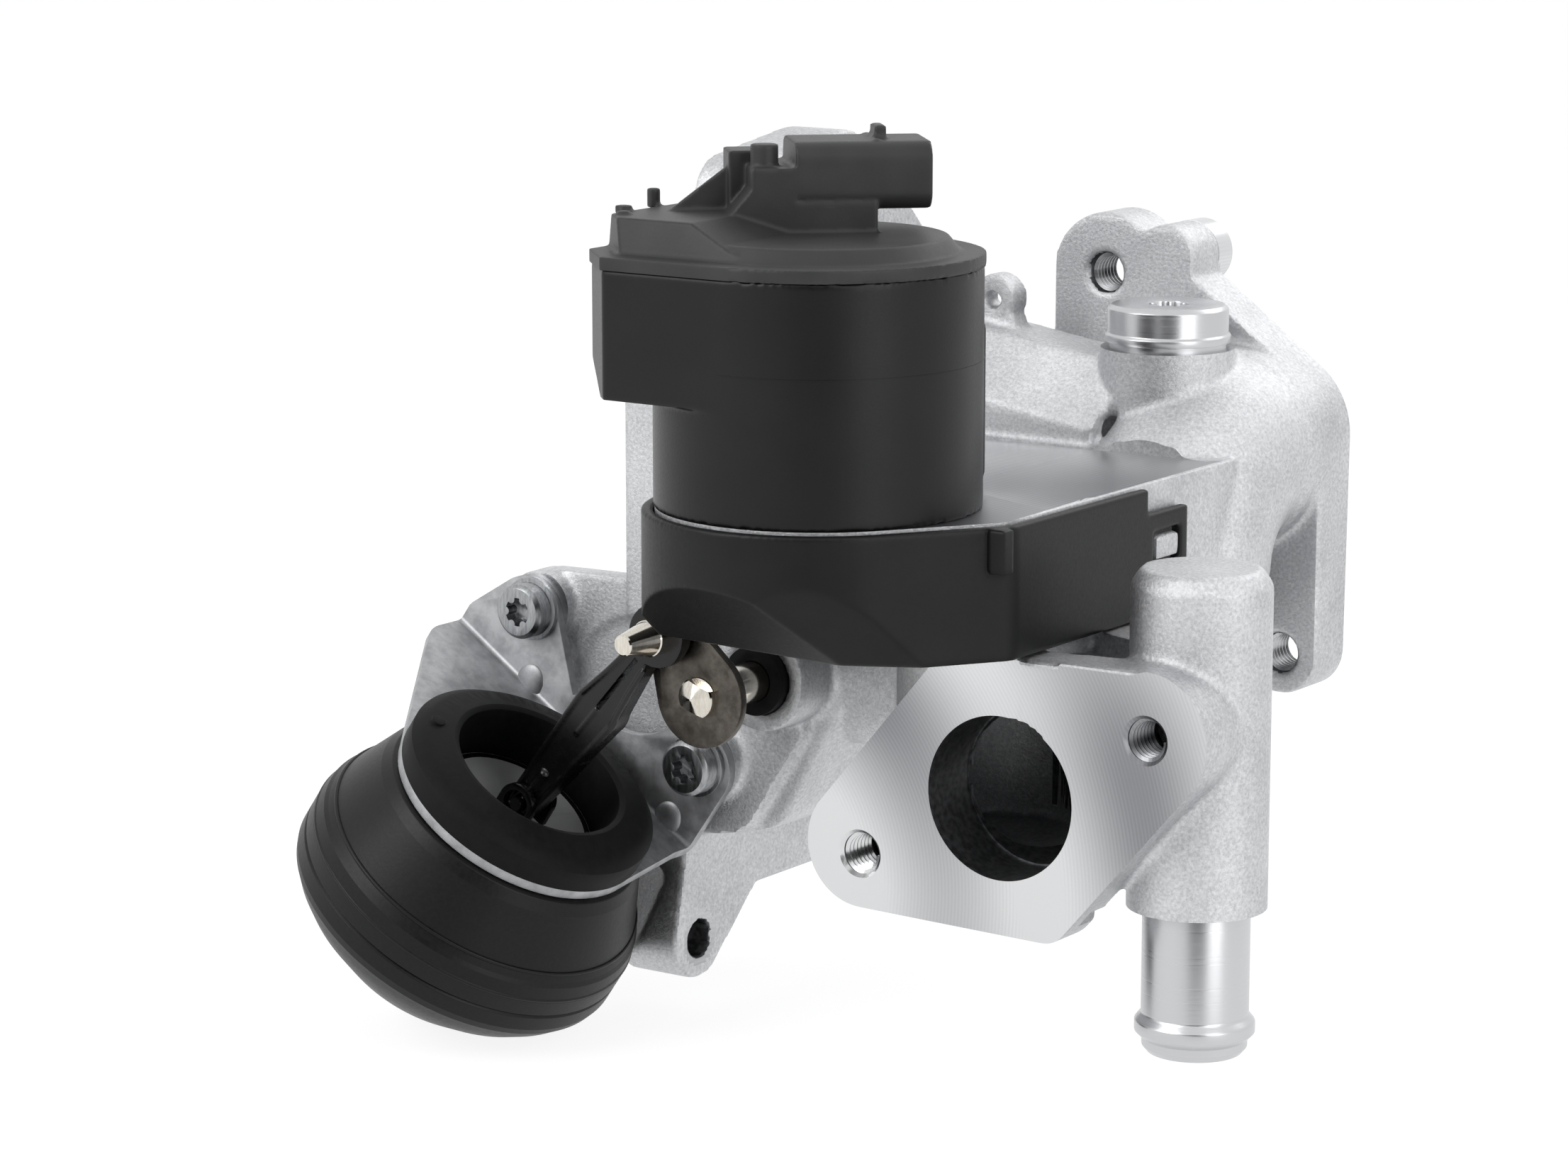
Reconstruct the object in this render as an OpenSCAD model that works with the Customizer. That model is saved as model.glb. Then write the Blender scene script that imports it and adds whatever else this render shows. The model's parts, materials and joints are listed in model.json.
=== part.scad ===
// Exhaust gas recirculation valve with an electric poppet drive, a cooler bypass flap and
// its vacuum actuator.
// The origin is the centre of the gas inlet on the machined face of the inlet flange.
// The inlet points to -Y, +X runs along the flange to the coolant spigot, +Z is up along the motor.

/* [Gas inlet flange] */
// Diameter of the gas inlet bore
inlet_d = 31.3; // [28:0.1:32]
// Thickness of the inlet flange
inlet_flange_t = 10; // [8:0.5:12]
// Distance between the two inlet bolts, measured across
inlet_bolt_span_x = 62; // [58:0.5:66]
// Distance between the two inlet bolts, measured upwards
inlet_bolt_span_z = 30; // [28:0.5:32]
// Thread diameter of the flange bolts
flange_thread_d = 8; // [6:0.5:8]
// Depth of the threaded holes in the inlet flange
inlet_thread_depth = 10.5; // [9:0.5:11]

/* [Drive head] */
// Motor axis, distance to the left of the inlet
motor_x = 36; // [35:0.5:37]
// Motor axis, distance in front of the flange face
motor_y = 7; // [6:0.5:8]
// Height of the deck that the motor stands on
deck_z = 53; // [53:0.5:55]
// Height of the underside of the drive head
head_bottom_z = 27; // [26:0.5:27]
// Radius of the round end of the drive head
head_r = 30.5; // [30:0.5:31]
// Length of the deck behind the flange face
deck_length = 84; // [80:1:86]
// Thickness of the deck over the gear chamber
deck_t = 2; // [2:0.25:2.5]

/* [Clip-on cover] */
// Wall thickness of the cover
cover_wall = 2.2; // [1.8:0.1:2.6]
// Gap between the cover and the casting
cover_gap = 0.3; // [0.3:0.05:0.5]
// Length of the side wall behind the flange face
cover_side_length = 44; // [40:1:46]
// Distance from the deck down to the top rim of the cover
cover_drop = 0.4; // [0.4:0.1:1.5]
// Size of the window in the clip tab, along the side
clip_window_length = 12; // [10:0.5:13]

/* [Motor housing] */
// Outer diameter of the motor housing
motor_d = 61.5; // [60:0.5:62]
// Wall thickness of the motor housing
motor_wall = 3; // [2.4:0.1:3.2]
// Height of the motor housing above the deck
motor_h = 45; // [43:0.5:48]
// Distance from the motor axis to the end of the box on the left
box_reach = 36.5; // [35:0.5:38]
// Height of the box, from its underside to the seam
box_h = 24; // [20:0.5:26]

/* [Motor cap] */
// Thickness of the cap rim
cap_rim_t = 2.5; // [2:0.1:3]
// Height of the raised round part over the seam
cap_disc_h = 5.5; // [5:0.1:7]
// Height of the raised left part over the seam
cap_step_h = 9; // [8:0.25:10]
// Direction of the connector, turned from +X towards +Y
connector_turn = 42; // [35:1:48]
// Width of the connector body
connector_w = 20; // [18:0.5:22]
// Height of the connector body
connector_h = 12.6; // [12:0.1:14]
// Length of the connector body
connector_length = 25.5; // [23:0.5:28]
// Wall thickness of the connector body
connector_wall = 1.5; // [1.2:0.1:1.8]
// Number of connector terminals
terminals = 5; // [3:1:5]

/* [Gear train] */
// Tooth module of the gears
gear_module = 0.8; // [0.8]
// Teeth on the motor pinion and on the small wheel of the middle gear
pinion_teeth = 12; // [12]
// Teeth on the large wheel of the middle gear
middle_teeth = 40; // [40]
// Teeth on the lifting gear
lift_teeth = 42; // [42]
// Turn of the lifting gear between closed and open
lift_turn = 72; // [60:2:80]
// Lift of the poppet
valve_lift = 5; // [4:0.25:5]

/* [Poppet valve] */
// Diameter of the poppet head
poppet_d = 25; // [24:0.5:26]
// Diameter of the valve stem
stem_d = 5; // [4.5:0.25:5]
// Bore of the seat ring
seat_d = 22.6; // [21:0.2:23]

/* [Coolant side] */
// Outer diameter of the coolant spigot
spigot_d = 20.2; // [18:0.1:21]
// Bore of the coolant spigot
spigot_bore = 16; // [13:0.5:16.5]
// Length of the spigot below the column
spigot_length = 28; // [24:1:34]
// Diameter of the coolant column
column_d = 26.4; // [26:0.2:28]
// Diameter of the plug head
plug_head_d = 24.4; // [23:0.2:25]
// Height of the plug head
plug_head_h = 7.5; // [6:0.5:9]

/* [Outlet flange] */
// Diameter of the gas outlet bore
outlet_d = 33; // [30:0.5:34]
// Thickness of the outlet flange
outlet_flange_t = 12; // [10:0.5:14]
// Distance from the inlet face to the front of the outlet flange
outlet_front_y = 112; // [111:0.5:114]

/* [Cooler flange and bypass] */
// Thickness of the cooler flange
cooler_flange_t = 15; // [12:0.5:16]
// Diameter of the two cooler ports
cooler_port_d = 25; // [23:0.5:26]
// Diameter of the bolt holes in the cooler flange
cooler_bolt_d = 7.7; // [6.6:0.1:8]
// Diameter of the bypass shaft
shaft_d = 8; // [7:0.25:8]
// Distance from the bypass shaft to the crank pin
crank_r = 13.8; // [13.2:0.1:14]

/* [Vacuum actuator] */
// Tilt of the actuator from upright
can_tilt = 34.8; // [33:0.2:36]
// Outer diameter of the actuator at its seam
can_seam_d = 70.4; // [68:0.2:72]
// Diameter of the opening in the collar
collar_bore = 35; // [33:0.5:36]
// Outer diameter of the collar
collar_d = 52.8; // [51:0.2:54]
// Thickness of the bracket sheet
bracket_t = 2; // [1.5:0.1:2.5]
// Wall thickness of the pressed shells
shell_t = 1.2; // [1:0.1:1.6]

/* [Hidden] */
$fn = 64;
// Small overlap that keeps a cut clean
cut = 1;
// Share of a corner's radius by which a straight edge dips into it, so that the two cross cleanly
tangent_dip = 0.001;
// Running clearance on a radius
run_fit = 0.05;
// Clearance on a radius between pieces that must not touch
free_gap = 0.4;
// Length of the wider mouth of a gas port
port_land = 14;

cast_grey = [0.80, 0.81, 0.82];
machined = [0.86, 0.87, 0.88];
black_plastic = [0.11, 0.11, 0.12];
cap_grey = [0.27, 0.27, 0.28];
steel = [0.62, 0.63, 0.65];
polished = [0.86, 0.85, 0.82];
dark_rubber = [0.07, 0.07, 0.07];
copper = [0.72, 0.43, 0.27];

// Flange bolts of the inlet
inlet_bolt = [inlet_bolt_span_x / 2, inlet_bolt_span_z / 2];
thread_r = flange_thread_d / 2;
inlet_r = inlet_d / 2;
neck_r = inlet_r + 5.5;

// Drive head and gear chamber
motor_axis = [-motor_x, -motor_y];
motor_r = motor_d / 2;
seam_z = deck_z + motor_h;
chamber_floor = head_bottom_z + 4;
chamber_roof = deck_z - deck_t;
side_x = 3.3;
head_corner = [side_x - 3, -3, 3];

// Gear centres: the train turns from the motor axis to the valve axis
middle_dir = 50;
lift_dir = 80;
backlash_gap = 0.08;
first_distance = gear_module * (pinion_teeth + middle_teeth) / 2 + backlash_gap;
second_distance = gear_module * (pinion_teeth + lift_teeth) / 2 + backlash_gap;
middle_axis = motor_axis + first_distance * [cos(middle_dir), sin(middle_dir)];
valve_axis = middle_axis + second_distance * [cos(lift_dir), sin(lift_dir)];
// Play between two meshed teeth, along the pitch circle
tooth_play = 0.3;
middle_tip_r = gear_module * (middle_teeth / 2 + 0.9);
lift_tip_r = gear_module * (lift_teeth / 2 + 0.9);

// Heights in the gear chamber
middle_z = chamber_floor + 0.4;
wheel_t = 4;
lift_z = middle_z + wheel_t + 1.3;
lift_gear_t = 4.4;
hub_r = 7;
hub_bore_r = 4.9;
hub_top = chamber_roof - 0.5;
gear_roof = lift_z + lift_gear_t + 0.9;
lift_pin_d = 2.6;
lift_pin_z = hub_top - 2.2;

// Poppet and seat
seat_top_z = 20;
seat_h = 4;
poppet_top_z = seat_top_z - seat_h;
valve_chamber_r = poppet_d / 2 + 3;
seat_ring_r = seat_d / 2 + 2.6;
stem_r = stem_d / 2;
guide_r = stem_r + 1.9;
guide_boss_r = 8;
guide_bottom_z = head_bottom_z - 2;
stem_top = lift_pin_z + 2;
upper_gas_z = head_bottom_z - 1.2;

// Sloping faces under the drive head: direction, slope from level, height at the head's radius
chin_faces = [[-95.4, 42.3, 42.7], [-61.8, 64.1, 43.2], [-165, 67, 37.9]];

// Outlet
outlet_r = outlet_d / 2;
outlet_axis = [-14, 50];
outlet_bolts = [[-45, 83.5], [-48, 22], [-2.5, 8]];
elbow_r = outlet_r + 4;
elbow_bend_r = 22;
leg_y = outlet_front_y - 4 - elbow_bend_r;

// Coolant side
column_axis = [31, 20];
column_r = column_d / 2;
column_top = 44;
column_bottom = -20;
// The plug keeps its distance to the outlet flange
plug_axis = [-20.2, outlet_front_y - 16.7];
plug_boss_r = 13.6;
plug_seat_z = 72;
washer_t = 1.2;

// Cooler flange
cooler_face_x = -102;
cooler_back_x = cooler_face_x + cooler_flange_t;
cooler_port_r = cooler_port_d / 2;
// Bore behind the wide mouth of the cooler's feed port
bypass_r = cooler_port_r - 0.4;
bypass_port = [42, 12];
bypass_end_x = -40;
return_port = [92, 62.3];
duct_slope = 8.9;
cooler_lug = [25.8, -46.2];
cooler_bolts = [cooler_lug, [76, -30], [98, 80], [52, 100]];

// Bypass shaft, lever and link, in the X-Z plane
shaft_axis = [-65, bypass_port[1]];
shaft_r = shaft_d / 2;
lever_y = -5;
lever_t = 2;
block_front_y = 21;
crank_angle = 120;
crank = shaft_axis + crank_r * [cos(crank_angle), sin(crank_angle)];
crank_pin_r = 3;
link_t = 4.2;
link_y = lever_y - 0.4 - link_t / 2;

// Vacuum actuator: its axis points up and to the right
can_centre = [-100.5, -10, -7];
can_dir = [sin(can_tilt), cos(can_tilt)];
seam_r = can_seam_d / 2;
collar_r = collar_d / 2;
collar_bore_r = collar_bore / 2;
sheet_top = -6.2;
sheet_bottom = sheet_top - bracket_t;
seam_z_local = -31.4;
// Lower pivot of the link, on the piston's axis below the collar
foot_z = -7.6;
link_foot = [can_centre[0], can_centre[2]] + foot_z * can_dir;
link_length = norm(crank - link_foot);
link_angle = atan2(crank[1] - link_foot[1], crank[0] - link_foot[0]);

// Bracket screws, in the X-Z plane
bracket_screws_xz = [[-123.5, 19], [-82.3, -8.1]];
screw_thread_r = 3;
screw_head_r = 5.6;
screw_head_h = 5;

// Openings, bushes and seals in the casting
pilot_r = 14;
axle_r = 2;
seal_r = 6;
sleeve_r = 8.9;
socket_depth = 8;
plug_thread_r = 9;
plug_thread_l = 8;
shaft_seal_r = 6.9;
seal_depth = 3;
bush_l = 9;
bush_r = shaft_r + 1.6;
rear_bush_y = bypass_port[0] + cooler_port_r + 1;

// Motor
motor_screw_dirs = [84, 111, 138];
motor_screw_r = motor_r + 3.6;
screw_boss_h = 7;
shaft_hole_r = 5;
rotor_r = 2;
can_z = deck_z + motor_wall + 0.5;
can_h = 34;
can_r = 24;

// Connector
connector_front = 0.6;
connector_start = -4;
connector_z = seam_z + 9.6;
connector_top = connector_z + connector_h;

// Turn of each gear at rest, so that the teeth stand in the gaps of the mating gear
first_mesh = middle_dir;
middle_turn = middle_dir + 180 - 180 / middle_teeth;
small_turn = lift_dir;
lift_mesh = lift_dir + 180 - 180 / lift_teeth;
// The cross pin stands across the line of the two gears
pin_dir = 10;
spring_top = lift_pin_z - lift_pin_d / 2 - 1.4;

// Flattened end of the bypass shaft, and the flap
flat_turn = 20;
flat_at = 2.2;
rivet_r = 1.5;
flap_t = 2;

// Sheet bracket
leg_y0 = block_front_y - bracket_t;
leg_local = leg_y0 - can_centre[1];
bend_r = 3;
boot_hole_r = 20;

// Nipple, piston and the link's foot, in the actuator's frame
nipple_z = -47;
nipple_bore_r = 1.4;
nipple_r = 2.6;
piston_tube_r = 15.5;
plate_z = -24;
plate_r = 24;
dish_r = 16.8;
cheek_t = 1.5;
stub_r = 1.4;
foot_play = 1.5;
link_pocket_y = link_y - can_centre[1];

// Outer tangent of two circles [x, y, r] that follow each other counter-clockwise
function tangent(a, b) =
    let (
        d = [b[0] - a[0], b[1] - a[1]],
        l = norm(d),
        u = d / l,
        s = (a[2] - b[2]) / l,
        n = (s * u + sqrt(1 - s * s) * [u[1], -u[0]]) * (1 - tangent_dip)
    )
    [[a[0], a[1]] + a[2] * n, [b[0], b[1]] + b[2] * n];

// Plate outline round a counter-clockwise ring of circles
module round_outline(ring) {
    count = len(ring);
    polygon([for (i = [0 : count - 1]) each tangent(ring[i], ring[(i + 1) % count])]);
    for (c = ring) {
        translate([c[0], c[1]]) circle(c[2]);
    }
}

// Outline in the X-Z plane, extruded along +Y from y0
module plate_xz(y0, t) {
    translate([0, y0 + t, 0]) rotate([90, 0, 0]) linear_extrude(t) children();
}

// Outline in the Y-Z plane, extruded along +X from x0
module plate_yz(x0, t) {
    translate([x0, 0, 0]) rotate([90, 0, 90]) linear_extrude(t) children();
}

// Round bar along Y, centred on a point of the X-Z plane
module bar_y(xz, y0, length, r) {
    translate([xz[0], y0 + length, xz[1]]) rotate([90, 0, 0]) cylinder(h = length, r = r);
}

// Round bar along X, centred on a point of the Y-Z plane
module bar_x(yz, x0, length, r) {
    translate([x0, yz[0], yz[1]]) rotate([0, 90, 0]) cylinder(h = length, r = r);
}

// Round bar along Z
module bar_z(xy, z0, length, r) {
    translate([xy[0], xy[1], z0]) cylinder(h = length, r = r);
}

// Ring turned from its cross-section
module ring_z(xy, z0, length, r_in, r_out) {
    translate([xy[0], xy[1], z0]) rotate_extrude()
        translate([r_in, 0]) square([r_out - r_in, length]);
}

// The actuator's own frame: Z along its axis, the collar's top at zero
module on_actuator() {
    translate(can_centre) rotate([0, can_tilt, 0]) children();
}

// Involute gear outline with relieved roots
function inv(a) = tan(a) * 180 / PI - a;
function half_angle(n, rb, r) =
    90 / n - 90 * tooth_play / (PI * n * gear_module) + inv(20) - (r > rb ? inv(acos(rb / r)) : 0);
function polar(r, a) = [r * cos(a), r * sin(a)];
module gear_outline(n) {
    pitch_r = n * gear_module / 2;
    rb = pitch_r * cos(20);
    ra = pitch_r + 0.9 * gear_module;
    rr = pitch_r - 1.2 * gear_module;
    start = max(rb, rr);
    flank = [for (k = [0 : 4]) start + (ra - start) * k / 4];
    radii = rb > rr ? concat([rr], flank) : flank;
    last = len(radii) - 1;
    polygon([for (i = [0 : n - 1]) each concat(
        [for (k = [0 : last]) polar(radii[k], 360 * i / n - half_angle(n, rb, radii[k]))],
        [for (k = [0 : last]) polar(radii[last - k], 360 * i / n + half_angle(n, rb, radii[last - k]))]
    )]);
}

function inlet_ring() = [
    [inlet_bolt[0], inlet_bolt[1], 12.8],
    [-10, 20.5, 6],
    [-inlet_bolt[0], -inlet_bolt[1] + 1.5, 12],
    [9.8, -21, 5.3]
];

function head_ring(grow) = [
    [motor_axis[0], motor_axis[1], head_r + grow],
    [head_corner[0], head_corner[1], head_corner[2] + grow],
    [side_x - 3, deck_length - 3, 3 + grow],
    [-60, deck_length - 6, 6 + grow]
];

// Space under the sloping faces of the drive head; grow moves the faces outwards
module sloped_underside(grow) {
    for (face = chin_faces) {
        translate([motor_axis[0], motor_axis[1], 0]) rotate([0, 0, face[0]])
            translate([head_r, 0, face[2]]) rotate([0, 180 - face[1], 0])
            translate([-100, -100, grow]) cube([200, 200, 100]);
    }
}

// Casting: the outer form before its bores are cut
module housing_form() {
    // Inlet flange, its neck and the bosses behind its bolts
    plate_xz(0, inlet_flange_t) round_outline(inlet_ring());
    bar_y([0, 0], inlet_flange_t / 2, 40, neck_r);
    bar_y(inlet_bolt, inlet_flange_t / 2, 18, 12.4);
    bar_y(-inlet_bolt, inlet_flange_t / 2, 18, 8.5);
    // Valve chamber under the deck
    bar_z(valve_axis, -neck_r + 2, head_bottom_z + neck_r, valve_chamber_r + 4.5);
    // Drive head with the flat deck
    difference() {
        translate([0, 0, head_bottom_z]) linear_extrude(deck_z - head_bottom_z) round_outline(head_ring(0));
        sloped_underside(0);
    }
    // Gas chamber under the rear of the deck
    translate([0, 0, 4]) linear_extrude(deck_z - 8) round_outline([
        [side_x - 8, 40, 8], [side_x - 6, deck_length - 7, 6], [-36, deck_length - 7, 6], [-34, 34, 8]
    ]);
    // Coolant column, its rounded top and the web to the neck
    bar_z(column_axis, column_bottom, column_top - column_bottom - 3, column_r);
    translate([column_axis[0], column_axis[1], column_top - 3])
        cylinder(h = 3, r1 = column_r, r2 = column_r - 2);
    translate([column_axis[0], column_axis[1], -12]) linear_extrude(35)
        polygon([[1, -10.4], [2, 11.5], [-25, 22], [-33, 22], [-33, -11], [-9, -12.2]]);
    translate([column_axis[0], column_axis[1], -7.5]) linear_extrude(head_bottom_z + 7.7)
        polygon([[4, 14], [-28.4, 45], [-35, 45], [-35, 13], [0, -3]]);
    // Elbow from the gas chamber to the outlet flange
    elbow(elbow_r);
    bar_z([outlet_axis[0], leg_y], outlet_axis[1] - elbow_bend_r - 12, 13.5, elbow_r - 0.3);
    translate([outlet_axis[0], leg_y, outlet_axis[1] - elbow_bend_r - 11]) sphere(elbow_r - 0.8);
    bar_y(outlet_axis, outlet_front_y - 4.6, 5.6, elbow_r + 0.5);
    // Outlet flange with three bolt lobes and a dowel boss
    plate_xz(outlet_front_y, outlet_flange_t) round_outline([
        [outlet_bolts[0][0], outlet_bolts[0][1], 12.5],
        [outlet_bolts[1][0], outlet_bolts[1][1], 10],
        [outlet_bolts[2][0], outlet_bolts[2][1], 8.5],
        [-10.5, 52.5, 17]
    ]);
    bar_y([-31, 87.5], outlet_front_y, outlet_flange_t + 5, 6.8);
    // Plug boss on the elbow
    bar_z(plug_axis, 40, plug_seat_z - 40, plug_boss_r);
    // Return duct from the cooler flange, sloping down to the elbow
    translate([cooler_back_x - 2, 0, return_port[1]]) rotate([0, duct_slope, 0]) plate_yz(0, 62)
        polygon([[77, -15], [105, -15], [109, -8], [109, 8], [103, 15.8], [89, 15.8], [77, 4]]);
    bar_y([-60, 79], 92, 6, 5.2);
    plate_xz(92, 6) polygon([[-64, 60], [-50, 60], [-56, 78], [-65, 78]]);
    // Cooler flange with its bolt lobes
    plate_yz(cooler_face_x, cooler_flange_t) {
        round_outline([[29, -31, 8], [78, -29, 10], [104, 76, 12], [27, 64, 6]]);
        round_outline([[46, 20, 10], [104, 60, 10], [98, 84, 12], [78, 101, 12.5], [54, 101, 9]]);
        round_outline([[cooler_lug[0], cooler_lug[1], 8.2], [44, -34, 5], [30, -28, 8.5]]);
    }
    // Bypass chamber and the boss round its shaft
    plate_xz(26, bypass_port[0] - 12) round_outline(bypass_ring());
    bar_x(bypass_port, cooler_back_x - 1, 56, cooler_port_r + 4);
    bar_y(shaft_axis, 15, bypass_port[0] + 10, 10.5);
    // Wall and bosses that the actuator bracket is screwed to
    plate_xz(block_front_y + 3, 5) round_outline([
        [bracket_screws_xz[0][0], bracket_screws_xz[0][1] - 1, 8.4], [-92, -16, 9], [-80, -14, 9],
        [-72, 4, 12], [-78, 18, 6], [-100, 21, 6]
    ]);
    for (p = bracket_screws_xz) {
        bar_y(p, block_front_y, 7.6, 7.4);
    }
    // Cast lug that the clip tab snaps over
    translate([side_x - 1, cover_side_length + 3, 38.4]) cube([3.6, 8.5, 4.6]);
}

// Quarter bend in the Y-Z plane between the upright leg and the outlet
module elbow(r) {
    translate([outlet_axis[0], outlet_front_y - 4, outlet_axis[1] - elbow_bend_r]) rotate([90, 0, -90])
        rotate_extrude(angle = 90) translate([elbow_bend_r, 0]) circle(r);
}

// Round bar along the return duct, from the cooler flange down to the elbow
module return_duct(r, length) {
    translate([cooler_back_x - 2, return_port[0], return_port[1]]) rotate([0, 90 + duct_slope, 0])
        cylinder(h = length, r = r);
}

function bypass_ring() = [
    [shaft_axis[0], shaft_axis[1] + 1, 13.5], [-84, 12, 12], [-84, -14, 10], [-74, -12, 10]
];

module housing_cuts() {
    // Gas inlet and valve chamber
    bar_y([0, 0], -cut, port_land + cut, inlet_r);
    bar_y([0, 0], port_land - 1, 39 - port_land, inlet_r - 0.4);
    translate([0, 37, 0]) sphere(inlet_r - 1.5);
    bar_z(valve_axis, -inlet_r, inlet_r + poppet_top_z, valve_chamber_r);
    // Seat bore, the chamber over it and its ways to the bypass and the elbow, round the guide's boss
    bar_z(valve_axis, poppet_top_z - 0.5, seat_top_z - poppet_top_z + 0.5, seat_ring_r);
    difference() {
        union() {
            bar_z(valve_axis, seat_top_z - 1, upper_gas_z - seat_top_z + 1, seat_ring_r - 1.6);
            translate([valve_axis[0] - 9, valve_axis[1], seat_top_z + 0.2])
                cube([18, 40, upper_gas_z - seat_top_z - 0.2]);
            translate([bypass_end_x - 6, valve_axis[1] + 4, seat_top_z + 0.2])
                cube([valve_axis[0] - bypass_end_x + 6, 16, upper_gas_z - seat_top_z - 0.2]);
        }
        bar_z(valve_axis, head_bottom_z - 6, 12, guide_boss_r);
    }
    bar_y([valve_axis[0], 17], valve_axis[1] + valve_chamber_r + 3, 34, 8.5);
    elbow(outlet_r - 0.3);
    bar_z([outlet_axis[0], leg_y], 17, 12.5, outlet_r - 0.6);
    translate([outlet_axis[0], leg_y, 19]) sphere(outlet_r - 1.8);
    bar_y(outlet_axis, outlet_front_y - 5, outlet_flange_t + 6, outlet_r);
    // Cooler ports, the bypass chamber and the return duct
    bar_x(bypass_port, cooler_face_x - cut, port_land + cut, cooler_port_r);
    bar_x(bypass_port, cooler_face_x + port_land - 1, bypass_end_x - cooler_face_x - port_land + 1, bypass_r);
    bar_x(return_port, cooler_face_x - cut, cooler_flange_t + cut, cooler_port_r);
    return_duct(cooler_port_r - 1.6, 72);
    // Gear chamber under the deck and the opening that the motor drops into
    bar_z(motor_axis, chamber_floor, deck_z, pilot_r);
    bar_z(middle_axis, chamber_floor, gear_roof - chamber_floor, middle_tip_r + 1);
    bar_z(valve_axis, chamber_floor, gear_roof - chamber_floor, lift_tip_r + 1);
    bar_z(valve_axis, gear_roof - cut, chamber_roof - gear_roof + cut, sleeve_r);
    bar_z(middle_axis, chamber_floor - 3, gear_roof - chamber_floor + 6, axle_r);
    // Stem guide and seal bores
    bar_z(valve_axis, guide_bottom_z, chamber_floor - guide_bottom_z + cut, guide_r);
    bar_z(valve_axis, head_bottom_z - 7, guide_bottom_z - head_bottom_z + 7, seal_r);
    // Threaded holes of the inlet flange
    for (s = [-1, 1]) {
        bar_y(s * inlet_bolt, -cut, inlet_thread_depth + cut, thread_r);
    }
    // Threaded holes of the outlet flange
    for (p = outlet_bolts) {
        bar_y(p, outlet_front_y - cut, outlet_flange_t + 2 * cut, thread_r);
        translate([p[0], outlet_front_y, p[1]]) rotate([-90, 0, 0])
            cylinder(h = 0.7, r1 = thread_r + 0.7, r2 = thread_r);
    }
    bar_y([-31, 87.5], outlet_front_y + 5, outlet_flange_t + cut, 3);
    // Bolt holes of the cooler flange
    for (p = cooler_bolts) {
        bar_x(p, cooler_face_x - cut, cooler_flange_t + 2 * cut, cooler_bolt_d / 2);
    }
    // Relief round the actuator
    on_actuator() translate([0, 0, -60]) cylinder(h = 44, r = seam_r + 2.4);
    // Hole of the small ear
    bar_y([-60, 79], 91, 8, 1.8);
    // Coolant passage from the spigot up the column and round the neck
    bar_z(column_axis, column_bottom - cut, column_top - 8 - column_bottom, spigot_bore / 2);
    bar_z(column_axis, column_bottom - cut, socket_depth + cut, spigot_d / 2);
    // Threaded bore of the duct plug
    bar_z(plug_axis, plug_seat_z - plug_thread_l, plug_thread_l + cut, plug_thread_r);
    // Bore of the bypass shaft and the counterbores of its bushes and seal
    bar_y(shaft_axis, 14, bypass_port[0] + 6, shaft_r + 0.3);
    bar_y(shaft_axis, 14, seal_depth + 1, shaft_seal_r);
    bar_y(shaft_axis, 14, seal_depth + bush_l + 1, bush_r);
    bar_y(shaft_axis, rear_bush_y, bush_l, bush_r);
    // Pocket under the lever and the bracket, open to the front
    bar_y([-100, 2], block_front_y, 3.5, 17);
    // Threaded holes of the bracket screws
    for (p = bracket_screws_xz) {
        bar_y(p, block_front_y - cut, 6.5 + cut, screw_thread_r);
    }
    // Threaded holes of the motor screws
    for (a = motor_screw_dirs) {
        bar_z(motor_axis + motor_screw_r * [cos(a), sin(a)], deck_z - 9, 9 + cut, 2);
    }
}

module valve_housing() {
    color(cast_grey) difference() {
        housing_form();
        housing_cuts();
    }
}

// Coolant spigot: a turned tube pressed into the column, with a hose bead
module coolant_spigot() {
    bead_r = spigot_d / 2 + 1.2;
    end_z = column_bottom - spigot_length;
    r = spigot_d / 2;
    b = spigot_bore / 2;
    color(machined) translate([column_axis[0], column_axis[1], 0]) rotate_extrude()
        polygon([
            [b, column_bottom + socket_depth], [r, column_bottom + socket_depth], [r, end_z + 7.5],
            [bead_r, end_z + 6], [bead_r, end_z + 4], [r - 0.2, end_z + 2.6], [r - 0.2, end_z + 1.2],
            [r - 1.2, end_z], [b + 0.4, end_z], [b, end_z + 0.4]
        ]);
}

// Duct plug: turned head with a chamfer, a star socket and a threaded shank
module duct_plug() {
    r = plug_head_d / 2;
    z = plug_seat_z + washer_t;
    color(machined) difference() {
        union() {
            translate([plug_axis[0], plug_axis[1], 0]) rotate_extrude()
                polygon([
                    [0, z - plug_thread_l + 3], [plug_thread_r - 1.5, z - plug_thread_l + 3],
                    [plug_thread_r - 0.3, z - plug_thread_l + 4.5], [plug_thread_r - 0.3, z], [r + 0.5, z],
                    [r + 0.5, z + 1.4], [r, z + 1.9], [r, z + plug_head_h - 0.8],
                    [r - 0.8, z + plug_head_h], [0, z + plug_head_h]
                ]);
        }
        translate([plug_axis[0], plug_axis[1], z + plug_head_h - 4.5]) star_socket(4.1, 6);
    }
}

// Six-lobed drive socket
module star_socket(r, depth) {
    linear_extrude(depth) difference() {
        circle(r);
        for (a = [0 : 60 : 300]) {
            rotate(a) translate([r * 1.02, 0]) circle(r * 0.3);
        }
    }
}

module plug_washer() {
    color(machined) ring_z(plug_axis, plug_seat_z, washer_t, plug_thread_r + 0.2, plug_head_d / 2 - 0.4);
}

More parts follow.
